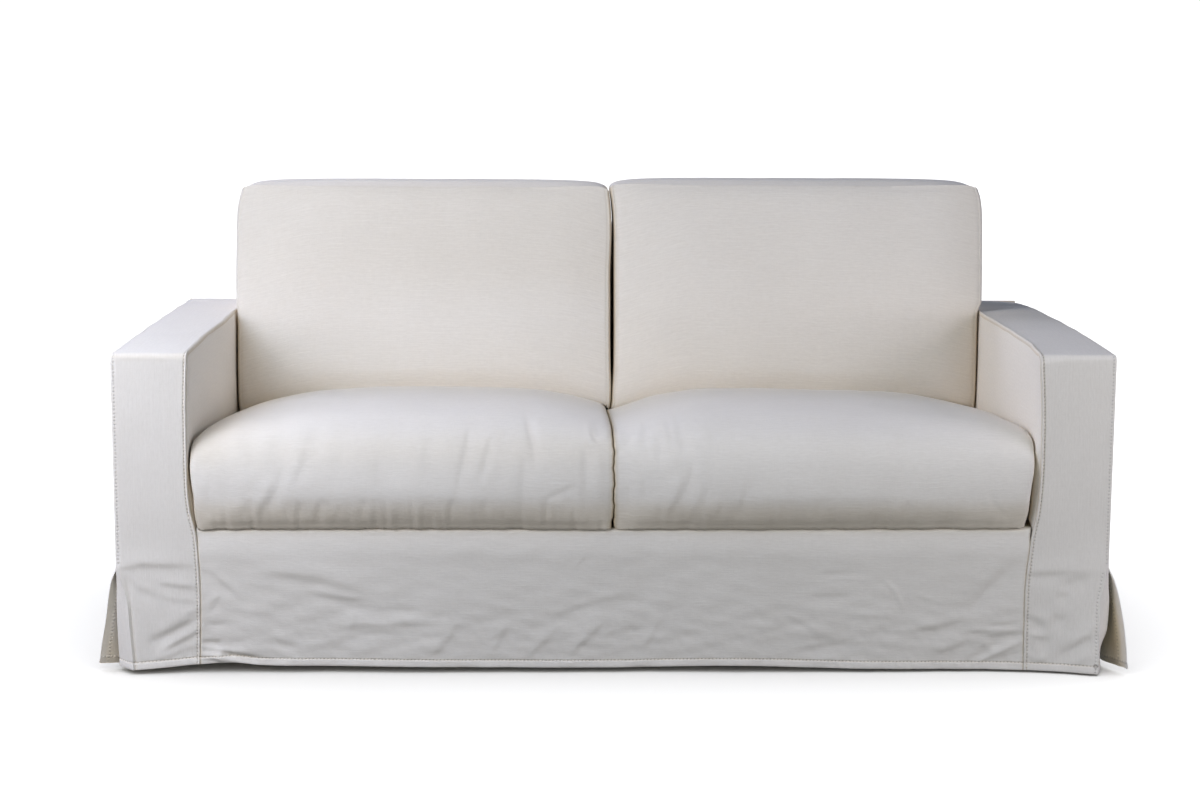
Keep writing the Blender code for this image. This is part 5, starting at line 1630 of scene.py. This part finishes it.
    # the bottom corners beside the split and the arm are drawn up round
    lift = 0.0050 * round_inset(e_in / 0.0120, 1.0) + 0.0045 * round_inset(e_out / 0.0140, 1.0)
    P[..., 2] += lift * step(0.315, 0.286, P[..., 2]) * front_zone * (~is_flat)[None, :]
    over_roll = np.clip((P[..., 1] - BORDER_LEAN) / (DECK_ROLL - BORDER_LEAN), 0.0, 1.0)
    rail = DECK_TOP - DECK_ROLL + DECK_ROLL * np.sqrt(1.0 - (1.0 - over_roll) ** 2)
    rest = np.where(P[..., 1] > BORDER_LEAN - 0.0015, rail + 0.0008, 0.27)
    P[..., 2] = np.maximum(P[..., 2], rest)
    name = "seat_pad_L" if side < 0 else "seat_pad_R"
    body = (~is_flat)[None, :]
    # painted shade: darker and warmer at the split, the outer end and over the lower front; flat undersides fully
    # shaded
    painted_shade = 0.30 * step(0.012, 0.0, e_in) + 0.55 * step(0.0040, 0.0, e_in) + 0.50 * step(0.0050, 0.0, e_out)
    painted_shade = painted_shade + (0.30 * step(0.352, 0.308, P[..., 2]) + 0.03 * step(0.306, 0.284, P[..., 2])) * front_zone
    if side < 0:
        # painted shade dulling the left cushion's lit front crown and corner
        crown = 0.085 * bell(P[..., 2] - 0.432, 0.032) + 0.10 * bell(P[..., 2] - 0.425, 0.03) * bell(e_out - 0.035, 0.035)
        painted_shade = painted_shade + crown * front_zone
    made = soft_piece(name, P, side, "seat_cushion_L" if side < 0 else "seat_cushion_R", is_flat,
                      cap=0.0035, pressure=1.0, painted_shade=np.where(body, painted_shade, 1.0))
    mesh = made.data
    seat_trees[side] = BVHTree.FromPolygons([v.co for v in mesh.vertices], [list(f.vertices) for f in mesh.polygons])
    return made


def back_section(side, x, edge):
    pull = math.exp(-edge / 0.05)
    rows = np.asarray(BACK_ROWS, float)
    y = rows[:, 0] - BACK_PUFF * rows[:, 2] * (1.0 - pull)
    low = np.array([seat_height(side, x, min(max(v, 0.645), 0.780)) for v in y]) + REST_GAP
    high = BACK_SEAM_TOP[side] - 0.009 * math.exp(-edge / 0.012)
    crown_here = BACK_CROWN[side] * (1.0 - 1.25 * math.exp(-edge / 0.026))
    z = low + rows[:, 1] * (high - low) + rows[:, 3] * crown_here
    curve = rounded(np.stack([y, z], axis=1), 9)
    ys = np.linspace(curve[-1][0] - 0.012, curve[0][0] + 0.010, 12)
    zs = np.array([seat_height(side, x, min(max(v, 0.645), 0.780)) for v in ys]) + REST_GAP
    return curve, np.stack([ys, zs], axis=1)


def rest_on_seat(side, P):
    """Lifts the lowest points of a back cushion clear of the seat it stands on."""
    low = P[..., 2] < 0.50
    for i, j in zip(*np.nonzero(low)):
        x, y, z = P[i, j]
        floor_here = seat_height(side, x, min(max(y, 0.630), 0.795)) + REST_GAP * 0.8
        P[i, j, 2] = max(z, floor_here)
    return P


def back_cushion(side):
    shares = section_shares(0.81, END_STEPS, 104)
    n_front, n_top, n_rear, n_flat = 76, 34, 56, 14
    rings = []
    for share in shares:
        edge = 0.80 * min(share, 1.0 - share)
        x = side * (0.806 - share * 0.802)
        curve, flat = back_section(side, x, edge)
        k = lambda i: i * 9
        front = resample(curve[k(0):k(7) + 1], n_front)
        top = resample(curve[k(7):k(12) + 1], n_top)
        rear = resample(curve[k(12):], n_rear)
        rings.append(np.concatenate([front[:-1], top[:-1], rear, resample(flat, n_flat)]))
    rings = np.array(rings)
    outer, inner = ends(BACK_END_ROWS, side, rings[..., 1])
    width = np.abs(inner - outer)
    X = outer + shares[:, None] * (inner - outer)
    e_out, e_in = shares[:, None] * width, (1 - shares[:, None]) * width
    normals = np.array([ring_normals(r) for r in rings])
    count = rings.shape[1]
    is_flat = np.arange(count) >= count - n_flat
    front_zone = step(0.72, 0.69, rings[..., 0])
    in_arm = step(0.66, 0.58, rings[..., 1])
    r_out = np.where(is_flat[None, :], 0.003, 0.006)
    r_in = np.where(is_flat[None, :], 0.003, 0.0055)
    inset = round_inset(e_out, r_out) + round_inset(e_in, r_in)
    for e in (e_out, e_in):
        welt = 0.0011 * bell(e - 0.0048, 0.0015) - 0.0010 * bell(e - 0.0082, 0.0015)
        inset = inset - np.where(is_flat[None, :], 0.0, welt) * step(0.74, 0.70, rings[..., 0])
    P = np.stack([X, rings[..., 0] + normals[..., 0] * inset, rings[..., 1] + normals[..., 1] * inset], axis=2)
    # the front's sides are rounded back, most where they press against the arms
    deep = 0.010 + (0.003 if side < 0 else 0.006) * in_arm
    plan = round_inset(e_out / (0.016 + 0.010 * in_arm), 1.0) * deep + round_inset(e_in / 0.016, 1.0) * (0.006 + 0.003 * (side > 0))
    P[..., 1] += plan * np.clip(1.0 - (P[..., 1] - 0.645) / 0.10, 0.0, 1.0)
    relief = wobble(P[..., 0], P[..., 2], 111 + side, 0.22, 0.0010) * front_zone
    relief += wobble(P[..., 0] * 0.6, P[..., 2], 113 + side, 0.06, 0.00018)
    # top front seam: raised, with a line drawn in under it
    s = lengths(np.stack([np.zeros_like(P[..., 0]), P[..., 1], P[..., 2]], axis=2), 1)
    seam_at = s[:, n_front - 1][:, None]
    relief += (~is_flat)[None, :] * (0.0014 * bell(s - seam_at, 0.0018) - 0.0009 * bell(s - seam_at + 0.0055, 0.0025) - 0.0007 * bell(s - seam_at - 0.0055, 0.0030))
    # the same seam along the rear edge of the top and along the bottom front
    rear_at = s[:, n_front + n_top - 2][:, None]
    relief += (~is_flat)[None, :] * (0.0014 * bell(s - rear_at, 0.0020) - 0.0010 * bell(s - rear_at + 0.006, 0.003) - 0.0010 * bell(s - rear_at - 0.006, 0.003))
    P[..., 1] -= normals[..., 0] * relief
    P[..., 2] -= normals[..., 1] * relief
    P = rest_on_seat(side, P)
    name = "back_pad_L" if side < 0 else "back_pad_R"
    # painted shade: darker and warmer at the split and at the outer end below the arm's top, dulling over the left
    # cushion's upper part and over the right cushion, most near its outer end; on the rear only near the ends
    warm_painted_shade = 0.0 if side < 0 else 0.20
    painted_shade = 0.22 * step(0.014, 0.0, e_in) + 0.45 * step(0.0045, 0.0, e_in)
    painted_shade = painted_shade + (0.085 * step(0.60, 0.74, P[..., 2]) if side < 0 else 0.03 + 0.09 * bell(e_out, 0.07) * (1 - in_arm))
    painted_shade = painted_shade + in_arm * (warm_painted_shade * bell(e_out, 0.060) + 0.55 * step(0.0075, 0.0, e_out))
    painted_shade = painted_shade * front_zone + (1 - front_zone) * 0.3 * step(0.006, 0.0, np.minimum(e_in, e_out))
    return soft_piece(name, P, side, "back_cushion_L" if side < 0 else "back_cushion_R", is_flat,
                      cap=0.0035, pressure=1.0, painted_shade=np.where((~is_flat)[None, :], painted_shade, 0.6))


def soft_piece(name, P, side, node, is_flat, cap, pressure, painted_shade):
    rows, cols = P.shape[:2]
    # coarse net of every few rings and points
    ri = np.unique(np.concatenate([[0, 6, 10, 12], np.linspace(14, rows - 15, 40).astype(int), [rows - 13, rows - 11, rows - 7, rows - 1]]))
    ci = np.arange(0, cols, 3)
    net = P[ri][:, ci]
    flat_c = is_flat[ci]
    hold = np.zeros(net.shape[:2])
    hold[:3] = 1.0
    hold[-3:] = 1.0
    hold[:, flat_c] = 1.0
    hold[:, 0] = 1.0
    hold[:, -1] = 1.0
    moved = puff(net.reshape(-1, 3), len(ri), len(ci), hold.ravel(), pressure, cap)
    moved[:, flat_c] = 0
    wide = upsample(moved, np.arange(rows), np.arange(cols), ri.astype(float), ci.astype(float))
    P = P + wide
    if "back" in name:
        P = rest_on_seat(side, P)
    centre_a, centre_b = P[0].mean(axis=0), P[-1].mean(axis=0)
    way_a = -1.0 if P[0, :, 0].mean() < P[-1, :, 0].mean() else 1.0
    is_back = "back" in name
    a, b = end_columns(side)
    rows_here = BACK_END_ROWS if is_back else SEAT_END_ROWS
    full = side * (0.8092 if side < 0 else 0.8125)

    def outer_x(y, z):
        x = table(rows_here, 0, a, z)
        return x if is_back else x + 0.8 * (full - x) * step(0.03, 0.16, y)

    first = cap_rings(P[0], centre_a, 0.0012, way_a, outer_x)
    last = cap_rings(P[-1], centre_b, 0.0012, -way_a, lambda y, z: table(rows_here, 0, b, z))
    all_rings = np.concatenate([np.array(first[::-1]), P, np.array(last)])
    v = lengths(P, 1)
    weave = np.zeros(P.shape)
    weave[..., 0] = P[..., 0] + 0.25 * side
    weave[..., 1] = v + 30.0 + 3.0 * side + (9.0 if "back" in name else 0.0)
    cap_w = []
    for r in first[::-1]:
        w = np.zeros((cols, 3)); w[:, 0] = r[:, 1]; w[:, 1] = r[:, 2] + 50; cap_w.append(w)
    cap_l = []
    for r in last:
        w = np.zeros((cols, 3)); w[:, 0] = r[:, 1]; w[:, 1] = r[:, 2] + 52; cap_l.append(w)
    weave = np.concatenate([np.array(cap_w), weave, np.array(cap_l)])
    # painted shade: end caps and undersides dark, set per ring
    shade = np.zeros(all_rings.shape) + (0.0, 0.02, 0.8)
    if is_back:      # less painted shade where the outer end stands in the open above the arm
        shade[:len(first), :, 2] = 0.10 + 0.5 * step(0.655, 0.60, all_rings[:len(first), :, 2])
    shade[len(first):len(first) + rows, :, 2] = np.clip(painted_shade, 0.0, 1.0)
    made = close_rings(name, all_rings, weave, shade)
    made.data.materials.append(cushion_cloth)
    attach(made, "root")
    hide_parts(node)
    return made


# ------------------------------------------------------------------ camera, light, floor
FLOOR = -ORIGIN[2]
LOW = (0.0, 0.0, 0.0)
MIDDLE = (0.195, 0.223, 0.270)
SKY = (0.0, 0.0, 0.0)
TOP = (0.105, 0.170, 0.300)
LAMPS = (  # name, place, aimed at, size, power of red, green and blue
    ("key_low", (-1.9, -1.9, 0.45), (-0.4, -0.7, -0.35), (1.2, 1.2), (17.0, 16.1, 17.8)),
    ("key_high", (-1.6, -2.3, 0.90), (-0.4, -0.7, -0.35), (1.2, 1.2), (18.4, 18.8, 19.0)),
    ("key_near", (-1.7, -1.6, 0.90), (-0.4, -0.7, -0.35), (1.2, 1.2), (2.8, 5.3, 9.4)),
    ("rear", (-1.5, 1.5, 1.80), None, (1.2, 1.2), (26.2, 26.7, 31.7)),
    ("rear_left", (-2.6, 0.9, 1.30), None, (1.2, 1.2), (1.1, 2.1, 6.2)),
    ("over_left", (-1.1, -0.6, 2.00), None, (1.2, 1.2), (10.6, 8.8, 6.2)),
    ("fill_right", (2.2, -1.9, 0.30), (0.4, -0.7, -0.35), (1.2, 1.2), (15.5, 15.0, 17.9)),
    ("front_right", (1.6, -3.3, 1.40), None, (1.2, 1.2), (0.6, 1.3, 1.2)),
    ("low_right", (1.5, -2.4, 0.20), (0.5, -0.9, -0.4), (1.2, 1.2), (4.9, 5.2, 4.5)),
)


def camera():
    yaw, pitch, roll = math.radians(1.283), math.radians(8.764), math.radians(0.288)
    eye = Vector((-0.1236, -5.0868, 0.3853))
    ahead = Vector((math.sin(yaw) * math.cos(pitch), math.cos(yaw) * math.cos(pitch), -math.sin(pitch)))
    right = Vector((math.cos(yaw), -math.sin(yaw), 0.0))
    up = right.cross(ahead)
    r = right * math.cos(roll) + up * math.sin(roll)
    u = up * math.cos(roll) - right * math.sin(roll)
    data = bpy.data.cameras.new("camera")
    data.sensor_width, data.lens = 36.0, 2238.3 * 36.0 / 1200.0
    data.clip_start, data.clip_end = 0.1, 200.0
    made = bpy.data.objects.new("camera", data)
    made.matrix_world = Matrix(((r[0], u[0], -ahead[0], eye[0]), (r[1], u[1], -ahead[1], eye[1]),
                                (r[2], u[2], -ahead[2], eye[2]), (0, 0, 0, 1)))
    bpy.context.scene.collection.objects.link(made)
    bpy.context.scene.camera = made


def area_light(name, place, target, size, powers):
    data = bpy.data.lights.new(name, "AREA")
    data.shape = "RECTANGLE"
    data.size, data.size_y = size
    data.energy = max(powers)
    data.color = tuple(p / max(powers) for p in powers)
    made = bpy.data.objects.new(name, data)
    made.location = place
    made.rotation_mode = "QUATERNION"
    made.rotation_quaternion = (Vector(target) - Vector(place)).to_track_quat("-Z", "Y")
    bpy.context.scene.collection.objects.link(made)
    return made


def stage():
    mesh = bpy.data.meshes.new("floor")
    s = 150.0
    mesh.from_pydata([(-s, -s, FLOOR), (s, -s, FLOOR), (s, s, FLOOR), (-s, s, FLOOR)], [], [(0, 1, 2, 3)])
    made = bpy.data.objects.new("floor", mesh)
    bpy.context.scene.collection.objects.link(made)
    shade = bpy.data.materials.new("floor")
    shade.use_nodes = True
    p = next(n for n in shade.node_tree.nodes if n.type == "BSDF_PRINCIPLED")
    p.inputs["Base Color"].default_value = (0.90, 0.885, 0.86, 1)
    p.inputs["Roughness"].default_value = 0.9
    p.inputs["Specular IOR Level"].default_value = 0.0
    made.data.materials.append(shade)
    made.visible_diffuse = False
    made.visible_glossy = False
    return made


def lights(floor):
    world = bpy.data.worlds.new("studio")
    bpy.context.scene.world = world
    world.use_nodes = True
    tree = world.node_tree
    tree.nodes.clear()
    new, link = tree.nodes.new, tree.links.new
    out, back = new("ShaderNodeOutputWorld"), new("ShaderNodeBackground")
    link(back.outputs["Background"], out.inputs["Surface"])
    where, split = new("ShaderNodeTexCoord"), new("ShaderNodeSeparateXYZ")
    link(where.outputs["Generated"], split.inputs["Vector"])
    ramp = new("ShaderNodeValToRGB")
    ramp.color_ramp.elements.remove(ramp.color_ramp.elements[0])
    spots = ((0.0, LOW), (0.249, LOW), (0.251, MIDDLE), (0.490, MIDDLE), (0.492, (1.05, 1.05, 1.05)),
             (0.516, (1.05, 1.05, 1.05)), (0.519, SKY), (0.873, SKY), (0.877, TOP), (1.0, TOP))
    for place, colour in spots:
        e = ramp.color_ramp.elements.new(place) if place < 1.0 else ramp.color_ramp.elements[-1]
        e.position = place
        e.color = (*colour, 1)
    spread = new("ShaderNodeMapRange")
    spread.inputs["From Min"].default_value, spread.inputs["From Max"].default_value = -1.0, 1.0
    link(split.outputs["Z"], spread.inputs["Value"])
    link(spread.outputs["Result"], ramp.inputs["Fac"])
    link(ramp.outputs["Color"], back.inputs["Color"])
    back.inputs["Strength"].default_value = 1.0
    middle = (0.0, -0.6, -0.35)
    for name, place, target, size, powers in LAMPS:
        area_light(name, place, target or middle, size, powers)
    lamp = bpy.data.lights.new("floor_light", "SUN")
    lamp.energy, lamp.angle = 4.4, math.radians(150)
    sun = bpy.data.objects.new("floor_light", lamp)
    bpy.context.scene.collection.objects.link(sun)
    only = bpy.data.collections.new("floor_only")
    only.objects.link(floor)
    sun.light_linking.receiver_collection = only
    rest = bpy.data.collections.new("pieces_only")
    for piece in bpy.context.scene.objects:
        if piece.type == "MESH" and piece != floor:
            rest.objects.link(piece)
    for piece in bpy.context.scene.objects:
        if piece.type == "LIGHT" and piece != sun:
            piece.light_linking.receiver_collection = rest


camera()
front_border()
for side in (-1, 1):
    arm_band(side)
    outside_arm(side)
    inside_arm(side)
hidden_panels()
outside_back()
for side in (-1, 1):
    seat_cushion(side)
    back_cushion(side)
for group in sorted(stitch_sets):
    build_stitches(group, thread)
floor = stage()
lights(floor)
bpy.context.scene.view_settings.view_transform = "Standard"
bpy.context.scene.view_settings.look = "None"
bpy.context.scene.cycles.max_bounces = 16
bpy.context.scene.cycles.diffuse_bounces = 12
